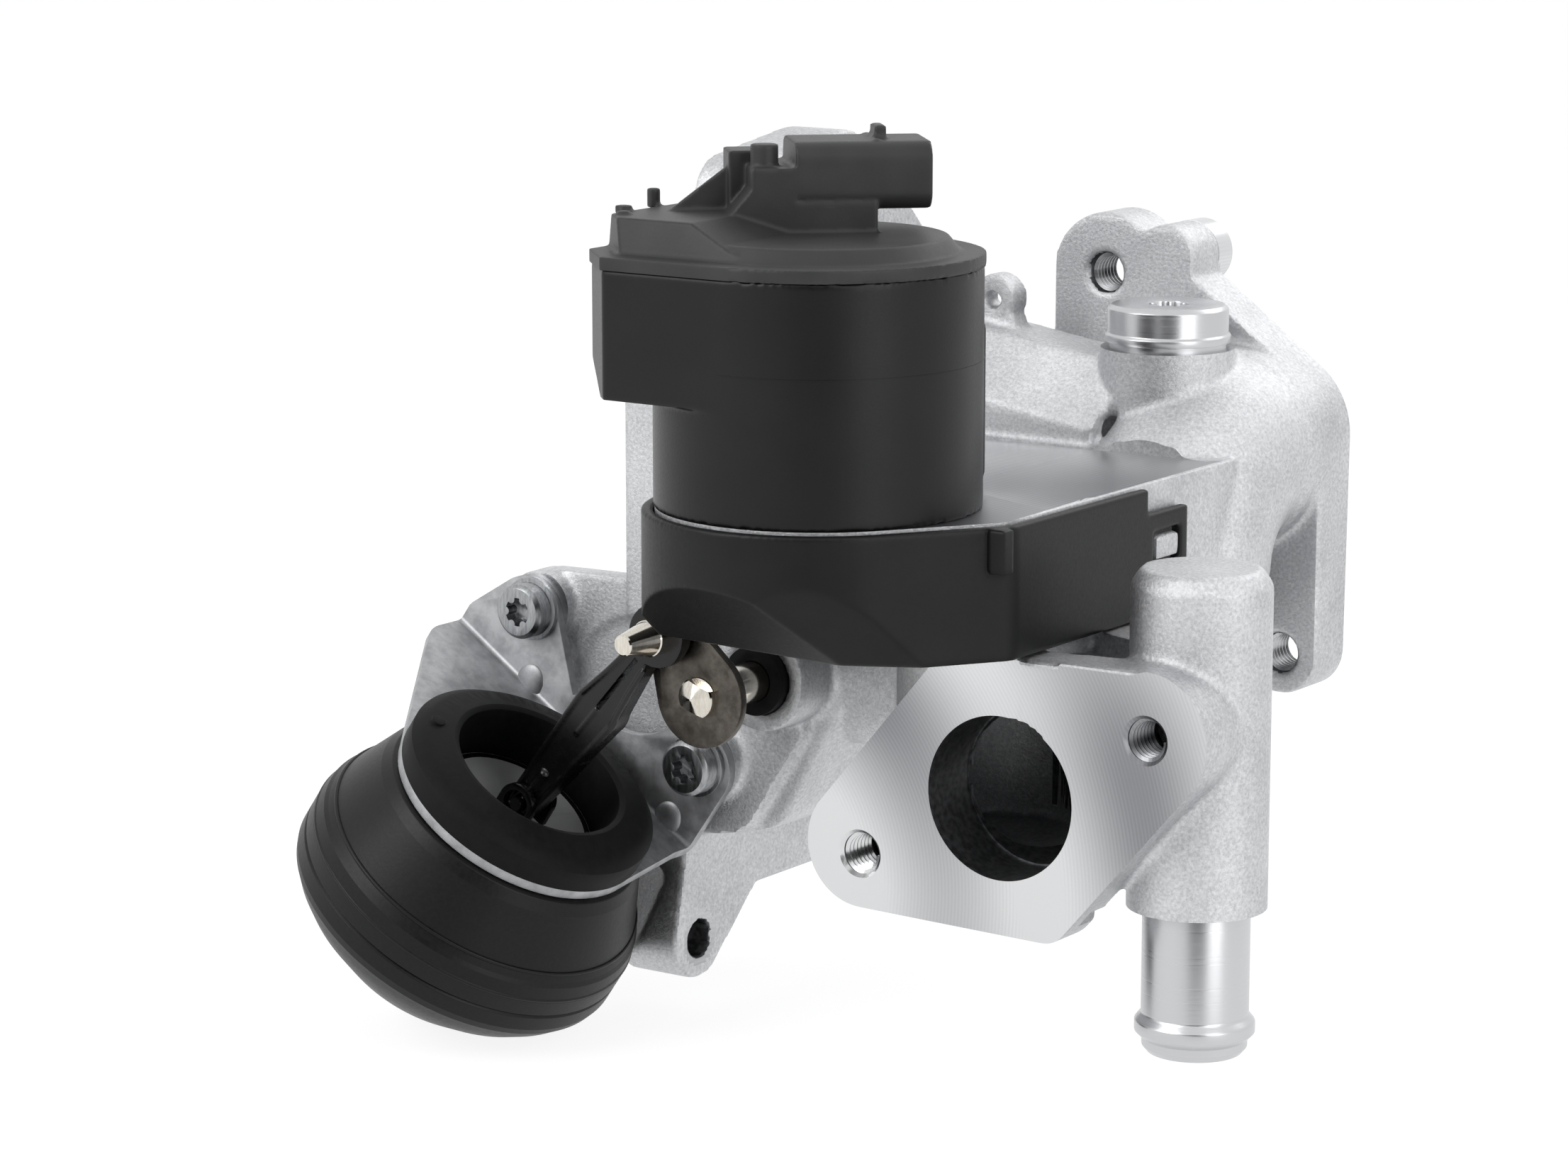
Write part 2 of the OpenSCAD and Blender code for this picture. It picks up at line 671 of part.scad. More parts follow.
// Clip-on cover: a skirt round the drive head with a raised underside and a clip tab
module clip_cover() {
    outer = cover_gap + cover_wall;
    top = deck_z - cover_drop;
    bottom = head_bottom_z + 0.5;
    color(black_plastic) {
        difference() {
            union() {
                difference() {
                    translate([0, 0, bottom]) linear_extrude(top - bottom) round_outline(head_ring(outer));
                    sloped_underside(outer);
                }
                // Rib at the front corner
                translate([side_x + outer - 2.4, -10, 44.4]) cube([3.4, 3.4, top - 44.4]);
            }
            difference() {
                translate([0, 0, bottom - cut]) linear_extrude(deck_z) round_outline(head_ring(cover_gap));
                sloped_underside(cover_gap);
            }
            // Open towards the casting behind the flange and along the rear
            translate([-100, cover_side_length, 0]) cube([200, 100, 100]);
            translate([-100, 8, 0]) cube([94, 100, 100]);
        }
        clip_tab();
    }
}

module clip_tab() {
    x0 = side_x + cover_gap;
    y0 = cover_side_length - cut;
    difference() {
        translate([x0, y0, 33.6]) cube([cover_wall, clip_window_length + 4, 14]);
        translate([x0 - cut, cover_side_length + 2, 37.4])
            cube([cover_wall + 2 * cut, clip_window_length - 2, 6.6]);
    }
}

// Plan outline of the motor housing: a drum with a box on its left side
module motor_outline(grow) {
    translate(motor_axis) circle(motor_r + grow);
    front = motor_axis[1] - motor_r - grow;
    left = motor_axis[0] - box_reach - grow;
    bevel = 9.6;
    back = motor_axis[1] + 16 + grow;
    polygon([
        [motor_axis[0], front], [motor_axis[0], back], [left + bevel, back], [left, back - bevel],
        [left, front + bevel], [left + bevel, front]
    ]);
}

// The box is cut off at 45 degrees underneath
module box_profile(under, rise) {
    left = motor_axis[0] - box_reach - 1;
    z = seam_z - box_h;
    plate_xz(-80, 160) polygon([
        [motor_axis[0] + 90, under], [motor_axis[0] + 90, 200], [left, 200], [left, z + 7 + rise],
        [left + 8, z + rise], [motor_axis[0] - 18, z + rise], [motor_axis[0] - 18, under]
    ]);
}

module motor_housing() {
    color(black_plastic) {
        difference() {
            union() {
                bar_z(motor_axis, deck_z, motor_h, motor_r);
                intersection() {
                    translate([0, 0, seam_z - box_h]) linear_extrude(box_h) motor_outline(0);
                    box_profile(0, 0);
                }
                // Pilot that centres the motor in the deck
                bar_z(motor_axis, chamber_roof + 0.3, deck_t, pilot_r - run_fit);
                // Screw bosses at the back
                for (a = motor_screw_dirs) {
                    bar_z(motor_axis + motor_screw_r * [cos(a), sin(a)], deck_z, screw_boss_h, 4.4);
                }
                // Moulded rib at the right of the back
                bar_z(motor_axis + (motor_r + 1) * [cos(60), sin(60)], deck_z + 3, 29, 3);
            }
            bar_z(motor_axis, deck_z + motor_wall, motor_h, motor_r - motor_wall);
            intersection() {
                translate([0, 0, seam_z - box_h + motor_wall]) linear_extrude(box_h) motor_outline(-motor_wall);
                box_profile(-1, motor_wall);
            }
            bar_z(motor_axis, chamber_roof - 1, deck_t + 6, shaft_hole_r);
            for (a = motor_screw_dirs) {
                bar_z(motor_axis + motor_screw_r * [cos(a), sin(a)], deck_z - cut, 10, 2.3);
            }
        }
    }
}

// Cap: rim, raised disc, raised left part, connector block and connector body
module motor_cap() {
    disc_r = 25;
    color(cap_grey) {
        difference() {
            union() {
                translate([0, 0, seam_z]) linear_extrude(cap_rim_t) motor_outline(0.3);
                translate([motor_axis[0], motor_axis[1], seam_z + cap_rim_t - 0.01])
                    cylinder(h = cap_disc_h - cap_rim_t + 0.01, r1 = disc_r + 1.5, r2 = disc_r - 1);
                cap_step();
                connector_block();
            }
            // Pocket over the circuit board
            bar_z(motor_axis, seam_z - cut, cap_rim_t + cut, disc_r - 4);
            connector_hollow();
        }
        // Locating pin and small bumps on the raised left part
        bar_z([-71.1, -10.4], seam_z + cap_step_h - 0.5, 3.7, 1.25);
        bar_z([-69.5, -22], seam_z + cap_step_h - 0.5, 1.6, 1.6);
        bar_z([-66.2, -26.4], seam_z + cap_step_h - 0.5, 1.2, 1.2);
    }
}

module cap_step() {
    left = motor_axis[0] - box_reach + 0.6;
    front = motor_axis[1] - motor_r + 4.6;
    back = motor_axis[1] + 12;
    bevel = 9.6;
    intersection() {
        translate([0, 0, seam_z]) linear_extrude(cap_step_h)
            polygon([
                [left + bevel + 26, front], [left + bevel + 26, back], [left + bevel, back],
                [left, back - bevel], [left, front + bevel], [left + bevel, front]
            ]);
        // The sides lean inwards: seen from the front, then from the side
        plate_xz(-80, 160) polygon([
            [left, seam_z], [left, seam_z + cap_rim_t], [left + 2.4, seam_z + cap_step_h],
            [-48, seam_z + cap_step_h], [-38, seam_z + cap_disc_h - 1], [-20, seam_z]
        ]);
        plate_yz(-100, 100) polygon([
            [front, seam_z], [front, seam_z + cap_rim_t], [front + 2.4, seam_z + cap_step_h],
            [back - 2.4, seam_z + cap_step_h], [back, seam_z + cap_rim_t], [back, seam_z]
        ]);
    }
}

// Connector frame: X along the connector, Y away from its front side, Z up from the deck
module on_connector() {
    translate([motor_axis[0], motor_axis[1], 0]) rotate([0, 0, connector_turn]) children();
}

module rounded_box_x(x0, length, y0, w, z0, h, r) {
    translate([x0, 0, 0]) rotate([90, 0, 90]) linear_extrude(length) round_outline([
        [y0 + r, z0 + r, r], [y0 + w - r, z0 + r, r], [y0 + w - r, z0 + h - r, r], [y0 + r, z0 + h - r, r]
    ]);
}

module connector_block() {
    on_connector() {
        // Base block with its sloping left shoulder, a lower step and the plinth under the connector
        translate([0, connector_front + connector_w, 0]) rotate([90, 0, 0]) linear_extrude(connector_w)
            polygon([
                [-4, seam_z + 3], [-4, seam_z + 17.6], [-12.3, seam_z + 17.6], [-12.3, seam_z + 13.7],
                [-17.2, seam_z + 7.9], [-17.2, seam_z + 3]
            ]);
        translate([-15.6, connector_front + 8, seam_z + 3]) cube([6, connector_w - 11, 17.2]);
        translate([-4.5, connector_front, seam_z + 3]) cube([15.8, connector_w - 2, 8]);
        // Peg on the block
        bar_z([-9.4, connector_front + 4.5], seam_z + 17, 4.8, 2.6);
        // Gusset down to the raised left part
        translate([-28, connector_front + 11, 0]) rotate([90, 0, 0]) linear_extrude(1.6)
            polygon([[0, seam_z + cap_step_h - 1], [12, seam_z + cap_step_h - 1], [12, seam_z + 17]]);
        // Body with rounded edges
        rounded_box_x(connector_start, connector_length, connector_front, connector_w,
            connector_z, connector_h, 3.4);
        // Latch ramp and guide ribs near the mouth
        translate([11.6, connector_front + connector_w / 2 - 3, connector_top - 0.5]) cube([2.2, 6, 3]);
        translate([11, connector_front + 3, connector_top - 0.4]) cube([0.9, connector_w - 6, 0.8]);
    }
}

module connector_hollow() {
    on_connector()
        rounded_box_x(connector_start + 6, connector_length, connector_front + connector_wall,
            connector_w - 2 * connector_wall, connector_z + connector_wall, connector_h - 2 * connector_wall, 2);
}

module cap_seal() {
    color(dark_rubber) translate([0, 0, seam_z - 1.4])
        rotate_extrude_at(motor_axis) translate([motor_r - motor_wall - 1.2, 0]) square([1.1, 1.4]);
}

module rotate_extrude_at(xy) {
    translate([xy[0], xy[1], 0]) rotate_extrude() children();
}

module connector_terminals() {
    pitch = (connector_w - 2 * connector_wall - 4) / (terminals);
    color(copper) on_connector() for (i = [0 : terminals - 1]) {
        y = connector_front + connector_wall + 2 + pitch * (i + 0.5);
        translate([connector_start + 6, y - 0.4, connector_z + connector_h / 2 - 0.4]) cube([11, 0.8, 0.8]);
    }
}

module circuit_board() {
    color([0.1, 0.35, 0.2]) bar_z(motor_axis, seam_z + cap_rim_t - 1.6, 1.6, 18);
}

module position_sensor() {
    color(black_plastic) translate([motor_axis[0] - 2.5, motor_axis[1] - 2.5, seam_z + cap_rim_t - 2.7])
        cube([5, 5, 1.1]);
}

// Steel can of the motor, open at the top
module motor_can() {
    color(steel) translate([motor_axis[0], motor_axis[1], can_z]) rotate_extrude()
        polygon([
            [5, 0], [can_r, 0], [can_r, can_h], [can_r - 1.4, can_h], [can_r - 1.4, 1.4], [5, 1.4]
        ]);
}

module motor_magnets() {
    color([0.25, 0.25, 0.27]) for (a = [0, 180]) {
        translate([motor_axis[0], motor_axis[1], can_z + 4]) rotate([0, 0, a - 65])
            rotate_extrude(angle = 130) translate([18.6, 0]) square([3.9, 24]);
    }
}

module brush_holder() {
    color([0.75, 0.72, 0.6]) difference() {
        bar_z(motor_axis, can_z + can_h, 2.4, can_r - 0.2);
        bar_z(motor_axis, can_z + can_h - cut, 5, 7);
    }
}

module motor_brushes() {
    color([0.2, 0.2, 0.2]) for (a = [0, 180]) {
        translate([motor_axis[0], motor_axis[1], can_z + can_h - 3.6]) rotate([0, 0, a])
            translate([5.7, -2, 0]) cube([6, 4, 3.6]);
    }
}

module motor_bearings() {
    color([0.7, 0.55, 0.3]) {
        ring_z(motor_axis, can_z - 0.4, 4, rotor_r + run_fit, 4.95);
        ring_z(motor_axis, can_z + can_h + 0.3, 2.6, rotor_r + run_fit, 6.9);
    }
}

module motor_screws() {
    color(steel) for (a = motor_screw_dirs) {
        p = motor_axis + motor_screw_r * [cos(a), sin(a)];
        bar_z(p, deck_z - 8, screw_boss_h + 8, 1.95);
        bar_z(p, deck_z + screw_boss_h, 2.6, 3.4);
    }
}

module rotor_shaft() {
    color(polished) bar_z(motor_axis, middle_z - 0.1, can_z + can_h + 5.1 - middle_z, rotor_r);
}

module armature_core() {
    color(steel) difference() {
        bar_z(motor_axis, can_z + 6, 20, 17.9);
        bar_z(motor_axis, can_z + 5, 22, rotor_r);
        for (a = [0 : 30 : 330]) {
            translate([motor_axis[0], motor_axis[1], can_z + 5]) rotate([0, 0, a]) translate([15.2, -0.6, 0])
                cube([4, 1.2, 22]);
            bar_z(motor_axis + 13 * [cos(a), sin(a)], can_z + 5, 22, 2.3);
        }
    }
}

module armature_winding() {
    color(copper) {
        ring_z(motor_axis, can_z + 3, 2.8, 5.5, 16.5);
        ring_z(motor_axis, can_z + 26.2, 2.4, 5.5, 16.5);
        for (a = [0 : 30 : 330]) {
            bar_z(motor_axis + 13 * [cos(a), sin(a)], can_z + 5.8, 20.4, 2);
        }
    }
}

module commutator() {
    color(copper) ring_z(motor_axis, can_z + 29.4, 4.8, rotor_r, 5.3);
}

module sensor_magnet() {
    color([0.3, 0.3, 0.32]) bar_z(motor_axis, can_z + can_h + 5, 1.6, 3.5);
}

module drive_pinion() {
    color(steel) translate([motor_axis[0], motor_axis[1], middle_z - 0.1]) difference() {
        linear_extrude(wheel_t + 0.8) rotate(first_mesh) gear_outline(pinion_teeth);
        translate([0, 0, -1]) cylinder(h = 10, r = rotor_r);
    }
}

module middle_gear() {
    color([0.85, 0.84, 0.78]) translate([middle_axis[0], middle_axis[1], middle_z]) difference() {
        union() {
            linear_extrude(wheel_t) rotate(middle_turn) gear_outline(middle_teeth);
            translate([0, 0, wheel_t - 0.1]) linear_extrude(lift_gear_t + 2) rotate(small_turn)
                gear_outline(pinion_teeth);
        }
        translate([0, 0, -1]) cylinder(h = 20, r = axle_r + run_fit);
    }
}

module middle_gear_axle() {
    color(steel) bar_z(middle_axis, chamber_floor - 3, gear_roof - chamber_floor + 6, axle_r);
}

// Lifting gear: its hub carries two helical slots that drive the cross pin
module lifting_gear() {
    steps = 16;
    color([0.85, 0.84, 0.78]) translate([valve_axis[0], valve_axis[1], 0]) difference() {
        union() {
            translate([0, 0, lift_z]) linear_extrude(lift_gear_t) rotate(lift_mesh) gear_outline(lift_teeth);
            translate([0, 0, lift_z]) cylinder(h = hub_top - lift_z, r = hub_r);
        }
        translate([0, 0, lift_z - 1]) cylinder(h = 40, r = hub_bore_r);
        for (i = [0 : steps]) {
            part_open = i / steps;
            translate([0, 0, lift_pin_z - valve_lift * part_open])
                rotate([0, 90, pin_dir - lift_turn * part_open])
                cylinder(h = 30, r = lift_pin_d / 2 + 0.22, center = true);
        }
    }
}

// Fixed sleeve with two straight slots that keep the cross pin from turning
module guide_sleeve() {
    bottom = lift_z + lift_gear_t + 0.4;
    color(steel) difference() {
        ring_z(valve_axis, bottom, chamber_roof - bottom, hub_r + run_fit, sleeve_r);
        translate([valve_axis[0], valve_axis[1], 0]) rotate([0, 0, pin_dir])
            translate([-20, -lift_pin_d / 2 - 0.1, bottom - 1])
            cube([40, lift_pin_d + 0.2, lift_pin_z + lift_pin_d / 2 + 1.2 - bottom]);
    }
}

module stem_guide() {
    color([0.7, 0.55, 0.3]) ring_z(valve_axis, guide_bottom_z, lift_z - 0.2 - guide_bottom_z,
        stem_r + run_fit, guide_r);
}

module stem_seal() {
    color(dark_rubber) ring_z(valve_axis, guide_bottom_z - 3.6, 3.6, stem_r + 0.08, seal_r);
}

module valve_seat() {
    color(steel) translate([valve_axis[0], valve_axis[1], poppet_top_z]) rotate_extrude()
        polygon([
            [seat_d / 2, 1.2], [seat_d / 2, seat_h - 0.6], [seat_d / 2 + 0.6, seat_h],
            [seat_ring_r, seat_h], [seat_ring_r, 0], [seat_d / 2 + 1.2, 0]
        ]);
}

module valve_stem() {
    color(polished) difference() {
        bar_z(valve_axis, poppet_top_z + 0.2, stem_top - poppet_top_z - 0.2, stem_r);
        translate([valve_axis[0], valve_axis[1], lift_pin_z]) rotate([0, 90, pin_dir])
            cylinder(h = 30, r = lift_pin_d / 2, center = true);
    }
}

// Poppet: a dished head with a 45 degree face
module poppet() {
    r = poppet_d / 2;
    color(steel) translate([valve_axis[0], valve_axis[1], poppet_top_z]) rotate_extrude()
        polygon([
            [0, -3.2], [r - 1, -3.2], [r, -2.4], [r, -1.2], [seat_d / 2 - 0.6, 0.9], [seat_d / 2 - 2, 0.9],
            [stem_r + 2, 2], [stem_r, 4], [stem_r, 0.2], [0, 0.2]
        ]);
}

module lift_pin() {
    color(steel) translate([valve_axis[0], valve_axis[1], lift_pin_z]) rotate([0, 90, pin_dir])
        cylinder(h = 2 * sleeve_r - 0.6, r = lift_pin_d / 2, center = true);
}

module spring_retainer() {
    color(steel) ring_z(valve_axis, spring_top, 1, stem_r, hub_bore_r - 0.4);
}

// Coil wound from a start height to an end height, as a swept eight-sided wire
function coil_point(mean_r, z0, z1, turns, t) =
    [mean_r * cos(360 * turns * t), mean_r * sin(360 * turns * t), z0 + (z1 - z0) * t];
module coil(mean_r, wire_r, z0, z1, turns, rings) {
    sides = 6;
    points = [for (i = [0 : rings]) let (t = i / rings, a = 360 * turns * t)
        for (k = [0 : sides - 1]) let (b = 360 * k / sides)
            coil_point(mean_r + wire_r * cos(b), z0, z1, turns, t) + [0, 0, wire_r * sin(b)]];
    walls = [for (i = [0 : rings - 1], k = [0 : sides - 1])
        let (n = (k + 1) % sides)
        [i * sides + k, i * sides + n, (i + 1) * sides + n, (i + 1) * sides + k]];
    ends = [[for (k = [0 : sides - 1]) sides - 1 - k], [for (k = [0 : sides - 1]) rings * sides + k]];
    polyhedron(points, concat(walls, ends), convexity = 10);
}

module return_spring() {
    wire = 0.55;
    color(steel) translate([valve_axis[0], valve_axis[1], 0])
        coil(stem_r + 1.3, wire, lift_z + wire, spring_top - wire, 4, 56);
}

// Bypass shaft with a conical, flattened end that the lever is pressed on
module bypass_shaft() {
    y_end = rear_bush_y + bush_l - 0.5;
    color(polished) difference() {
        union() {
            bar_y(shaft_axis, lever_y + lever_t, y_end - lever_y - lever_t, shaft_r);
            difference() {
                bar_y(shaft_axis, lever_y - 1, lever_t + 1.1, shaft_r - 0.2);
                translate([shaft_axis[0], lever_y, shaft_axis[1]]) rotate([0, flat_turn, 0])
                    translate([-20, -20, -20 - flat_at]) cube([40, 40, 20]);
            }
            difference() {
                translate([shaft_axis[0], lever_y - 1, shaft_axis[1]]) rotate([90, 0, 0])
                    cylinder(h = 4, r1 = shaft_r - 0.2, r2 = 1.2);
                translate([shaft_axis[0], lever_y, shaft_axis[1]]) rotate([0, flat_turn, 0])
                    translate([-20, -20, -20 - flat_at]) cube([40, 40, 20]);
            }
        }
        // Flat that the flap is riveted to
        translate([shaft_axis[0], bypass_port[0] - cooler_port_r - 1, shaft_axis[1]])
            translate([0.4, 0, -10]) cube([10, 2 * cooler_port_r + 2, 20]);
        for (s = [-1, 1]) {
            bar_x([bypass_port[0] + s * 6, shaft_axis[1]], shaft_axis[0] - 8, 16, rivet_r);
        }
    }
}

module bypass_flap() {
    color(steel) difference() {
        bar_x(bypass_port, shaft_axis[0] + 0.4, flap_t, bypass_r - free_gap);
        for (s = [-1, 1]) {
            bar_x([bypass_port[0] + s * 6, shaft_axis[1]], shaft_axis[0] - 8, 16, rivet_r);
        }
    }
}

module flap_rivets() {
    color(steel) for (s = [-1, 1]) {
        bar_x([bypass_port[0] + s * 6, shaft_axis[1]], shaft_axis[0] - shaft_r + 0.3,
            shaft_r + flap_t + 0.1, rivet_r);
        translate([shaft_axis[0] + 0.4 + flap_t, bypass_port[0] + s * 6, shaft_axis[1]]) rotate([0, 90, 0])
            cylinder(h = 1, r1 = 2.6, r2 = 1.8);
    }
}

module flap_bushes() {
    color([0.3, 0.3, 0.3]) {
        difference() {
            bar_y(shaft_axis, 14 + seal_depth, bush_l, bush_r);
            bar_y(shaft_axis, 13, 40, shaft_r + run_fit);
        }
        difference() {
            bar_y(shaft_axis, rear_bush_y, bush_l, bush_r);
            bar_y(shaft_axis, rear_bush_y - 1, 40, shaft_r + run_fit);
        }
    }
}

module shaft_seal() {
    color(dark_rubber) difference() {
        bar_y(shaft_axis, 13, seal_depth + 1, shaft_seal_r);
        bar_y(shaft_axis, 12, 20, shaft_r + 0.08);
    }
}

module crank_lever() {
    hub_disc = 10;
    color(steel) difference() {
        plate_xz(lever_y, lever_t) round_outline_pair(shaft_axis, hub_disc, crank, 5.6);
        difference() {
            bar_y(shaft_axis, lever_y - 1, 10, shaft_r - 0.2);
            translate([shaft_axis[0], lever_y, shaft_axis[1]]) rotate([0, flat_turn, 0])
                translate([-20, -20, -20 - flat_at]) cube([40, 40, 20]);
        }
        bar_y(crank, lever_y - 1, 10, crank_pin_r - 0.8);
    }
}

module round_outline_pair(a, ra, b, rb) {
    round_outline([[a[0], a[1], ra], [b[0], b[1], rb]]);
}

// Cone pin: riveted through the lever, a straight part for the link, then a cone with a flat tip
module crank_pin() {
    link_front = link_y - link_t / 2;
    color(polished) {
        bar_y(crank, lever_y - 0.01, lever_t + 0.8, crank_pin_r - 0.8);
        bar_y(crank, link_front - 0.3, lever_y - link_front + 0.3, crank_pin_r);
        translate([crank[0], link_front - 0.3, crank[1]]) rotate([90, 0, 0]) {
            cylinder(h = 1.4, r = crank_pin_r + 0.4);
            translate([0, 0, 1.4]) cylinder(h = 4.4, r1 = crank_pin_r + 0.4, r2 = 1.7);
        }
    }
}

// Link arm: an eye on the crank pin, a slotted middle and a foot in the piston
module link_arm() {
    eye_r = 5.6;
    color(black_plastic) difference() {
        union() {
            bar_y(crank, link_y - link_t / 2, link_t, eye_r);
            on_link() {
                plate_link([[0, 0, 3.2], [16, 0, 4.5]], link_t);
                plate_link([[15, 0, 4.2], [28, 0, 5.4]], link_t);
                plate_link([[27.2, 0, 5.2], [link_length - 8, 0, 2.8]], link_t);
                // Stubs in the cheeks of the piston
                cylinder(h = link_t + 2 * cheek_t + 1, r = stub_r, center = true);
            }
        }
        bar_y(crank, link_y - 10, 20, crank_pin_r + run_fit);
        on_link() {
            // Long slot near the foot and the narrow slot near the eye
            translate([6, 0, -0.01]) plate_slot(14, 1.6, link_t / 2 - 0.7, 0.7);
            translate([26, 0, -5]) plate_slot(12, 0.5, 10, 0);
        }
    }
}

// Frame of the link: X from the foot to the eye, Y across it, Z along the shaft direction
module on_link() {
    translate([link_foot[0], link_y, link_foot[1]]) rotate([0, -link_angle, 0]) rotate([90, 0, 0]) children();
}

module plate_link(ring, t) {
    translate([0, 0, -t / 2]) linear_extrude(t) round_outline(ring);
}

module plate_slot(length, r, depth, z) {
    translate([0, 0, z]) linear_extrude(depth) round_outline([[0, 0, r], [length, 0, r]]);
}

// Sheet bracket: a leg screwed to the casting and a tilted plate that carries the actuator
module actuator_bracket() {
    fold_y = leg_local + bracket_t - bend_r;
    fold_z = sheet_bottom + bend_r;
    color([0.55, 0.56, 0.58]) difference() {
        on_actuator() {
            // Tilted plate under the collar
            translate([0, 0, sheet_bottom]) linear_extrude(bracket_t) intersection() {
                union() {
                    round_outline([[0, 0, collar_r - 0.1], [18.3, 24, 5.2], [-38.4, 22, 8.2]]);
                    translate([-46.6, 22]) square([70.1, 10]);
                }
                translate([-60, -60]) square([120, 60 + fold_y]);
            }
            // Bend and upright leg
            translate([-46.6, fold_y, fold_z]) rotate([90, 0, 90]) linear_extrude(70.1) difference() {
                circle(bend_r);
                circle(bend_r - bracket_t);
                translate([-10, 0]) square([20, 20]);
                translate([-20, -10]) square([20, 20]);
            }
            translate([0, leg_local + bracket_t, 0]) rotate([90, 0, 0]) linear_extrude(bracket_t)
                leg_outline(fold_z);
        }
        on_actuator() {
            translate([0, 0, sheet_bottom - 1]) cylinder(h = bracket_t + 2, r = boot_hole_r);
        }
        for (p = bracket_screws_xz) {
            bar_y(p, leg_y0 - 1, 10, screw_thread_r + 0.3);
        }
    }
}

// Leg outline in the actuator's frame: two screw ears with a round cut-out between them
module leg_outline(low) {
    difference() {
        union() {
            round_outline([[-43.5, low + 3, 3], [-18, low + 3, 3], [-34.4, 5.8, 8]]);
            round_outline([[-14, low + 3, 3], [20.5, low + 3, 3], [15.6, 8.6, 8]]);
            translate([-46.6, low]) square([70.1, 3.2]);
        }
        translate([-8.5, 16.5]) circle(15.4);
    }
}

module bracket_screws() {
    color(steel) for (p = bracket_screws_xz) {
        translate([p[0], leg_y0, p[1]]) rotate([90, 0, 0]) difference() {
            union() {
                cylinder(h = 1.2, r = screw_head_r + 0.8);
                translate([0, 0, 1.2]) cylinder(h = screw_head_h - 1.6, r = screw_head_r);
                translate([0, 0, screw_head_h - 0.4])
                    cylinder(h = 0.8, r1 = screw_head_r, r2 = screw_head_r - 0.8);
                translate([0, 0, -bracket_t - 6]) cylinder(h = bracket_t + 6, r = screw_thread_r - 0.05);
            }
            translate([0, 0, screw_head_h - 2.4]) star_socket(2.9, 4);
        }
    }
}

// Collar: a moulded ring over the bracket that retains the upper shell
module actuator_collar() {
    neck_r = boot_hole_r - 0.1;
    snap_z = sheet_bottom - shell_t;
    color(dark_rubber) on_actuator() {
        rotate_extrude(convexity = 4) polygon([
            [collar_bore_r, snap_z - 1.4], [collar_bore_r, 1.2], [collar_bore_r + 1.2, 1.6],
            [collar_bore_r + 2.4, 1.2], [collar_r - 2.4, 0.3], [collar_r, -1.6], [collar_r, sheet_top],
            [neck_r, sheet_top], [neck_r, snap_z - 0.1], [neck_r + 0.8, snap_z - 0.2],
            [neck_r + 0.3, snap_z - 1.4]
        ]);
        translate([-18.4, -12.4, 0.2]) cylinder(h = 1, r = 1.4);
    }
}

// Upper shell: pressed cup with two grooves, flared out to the seam
module upper_shell() {
    t = shell_t;
    top = sheet_bottom;
    color(black_plastic) on_actuator() rotate_extrude(convexity = 6) polygon([
        [boot_hole_r, top], [collar_r - 1.4, top], [collar_r + 0.6, top - 0.8], [collar_r + 2, top - 3],
        [seam_r - 2.3, -22], [seam_r - 1.9, -22.6], [seam_r - 1.3, -23.8], [seam_r - 0.7, -24.6],
        [seam_r, -28], [seam_r, seam_z_local], [seam_r - t, seam_z_local], [seam_r - t, -28.2],
        [seam_r - 2.1 - t, -24.4], [seam_r - 2.5 - t, -22.2], [collar_r + 2 - t, top - 3.4],
        [collar_r + 0.2 - t, top - t], [boot_hole_r, top - t]
    ]);
}

// Lower shell: domed cup clamped to the upper one with the diaphragm between them
function shell_bottom(r) = [
    [r, seam_z_local - 0.8], [r, -35.4], [r - 0.5, -37], [r - 2.6, -40], [r - 5.6, -43.2],
    [r - 13.4, -49.4], [r - 21.6, -55.2], [r - 24.6, -56.4], [0, -56.6]
];
module lower_shell() {
    t = shell_t;
    outer = shell_bottom(seam_r);
    inner = [for (i = [8 : -1 : 0]) [max(0, outer[i][0] - t), outer[i][1] + (i > 2 ? t : 0)]];
    color(black_plastic) on_actuator() difference() {
        rotate_extrude(convexity = 6) polygon(concat([[seam_r - t, seam_z_local - 0.1],
            [seam_r - 0.7, seam_z_local - 0.1]], outer, inner));
        translate([0, 0, nipple_z]) rotate([-90, 0, 0]) cylinder(h = 40, r = nipple_bore_r);
    }
}

// Vacuum nipple at the back of the lower shell, seated on its outside
module vacuum_nipple() {
    color(black_plastic) on_actuator() difference() {
        translate([0, 0, nipple_z]) rotate([-90, 0, 0]) rotate_extrude() polygon([
            [nipple_bore_r, 18], [nipple_r + 1.6, 18], [nipple_r + 1.6, 30], [nipple_r, 31], [nipple_r, 38],
            [nipple_r + 0.5, 38.2], [nipple_r + 0.5, 39.4], [nipple_r - 0.4, 42], [nipple_bore_r, 42]
        ]);
        rotate_extrude() polygon(concat([[0, seam_z_local - 0.8]], shell_bottom(seam_r)));
    }
}

module diaphragm() {
    // Rolled rubber disc, clamped at the seam, with the piston in its middle
    low = seam_z_local;
    rim = seam_r - shell_t;
    color(dark_rubber) on_actuator() rotate_extrude(convexity = 6) polygon([
        [piston_tube_r + 0.1, plate_z + 0.1], [plate_r, plate_z + 0.1], [plate_r + 1, plate_z - 0.4],
        [plate_r + 1.6, low - 2], [plate_r + 3, low - 3.6], [rim - 3, low - 3.6], [rim - 1.6, low - 1],
        [rim - 0.2, low - 0.9], [rim - 0.2, low - 0.1], [rim - 2.2, low - 0.2], [rim - 3.6, low - 2.8],
        [plate_r + 3.4, low - 2.8], [plate_r + 2.4, low - 1.6], [plate_r + 1.8, plate_z],
        [plate_r + 0.6, plate_z + 0.9], [piston_tube_r + 0.1, plate_z + 0.9]
    ]);
}

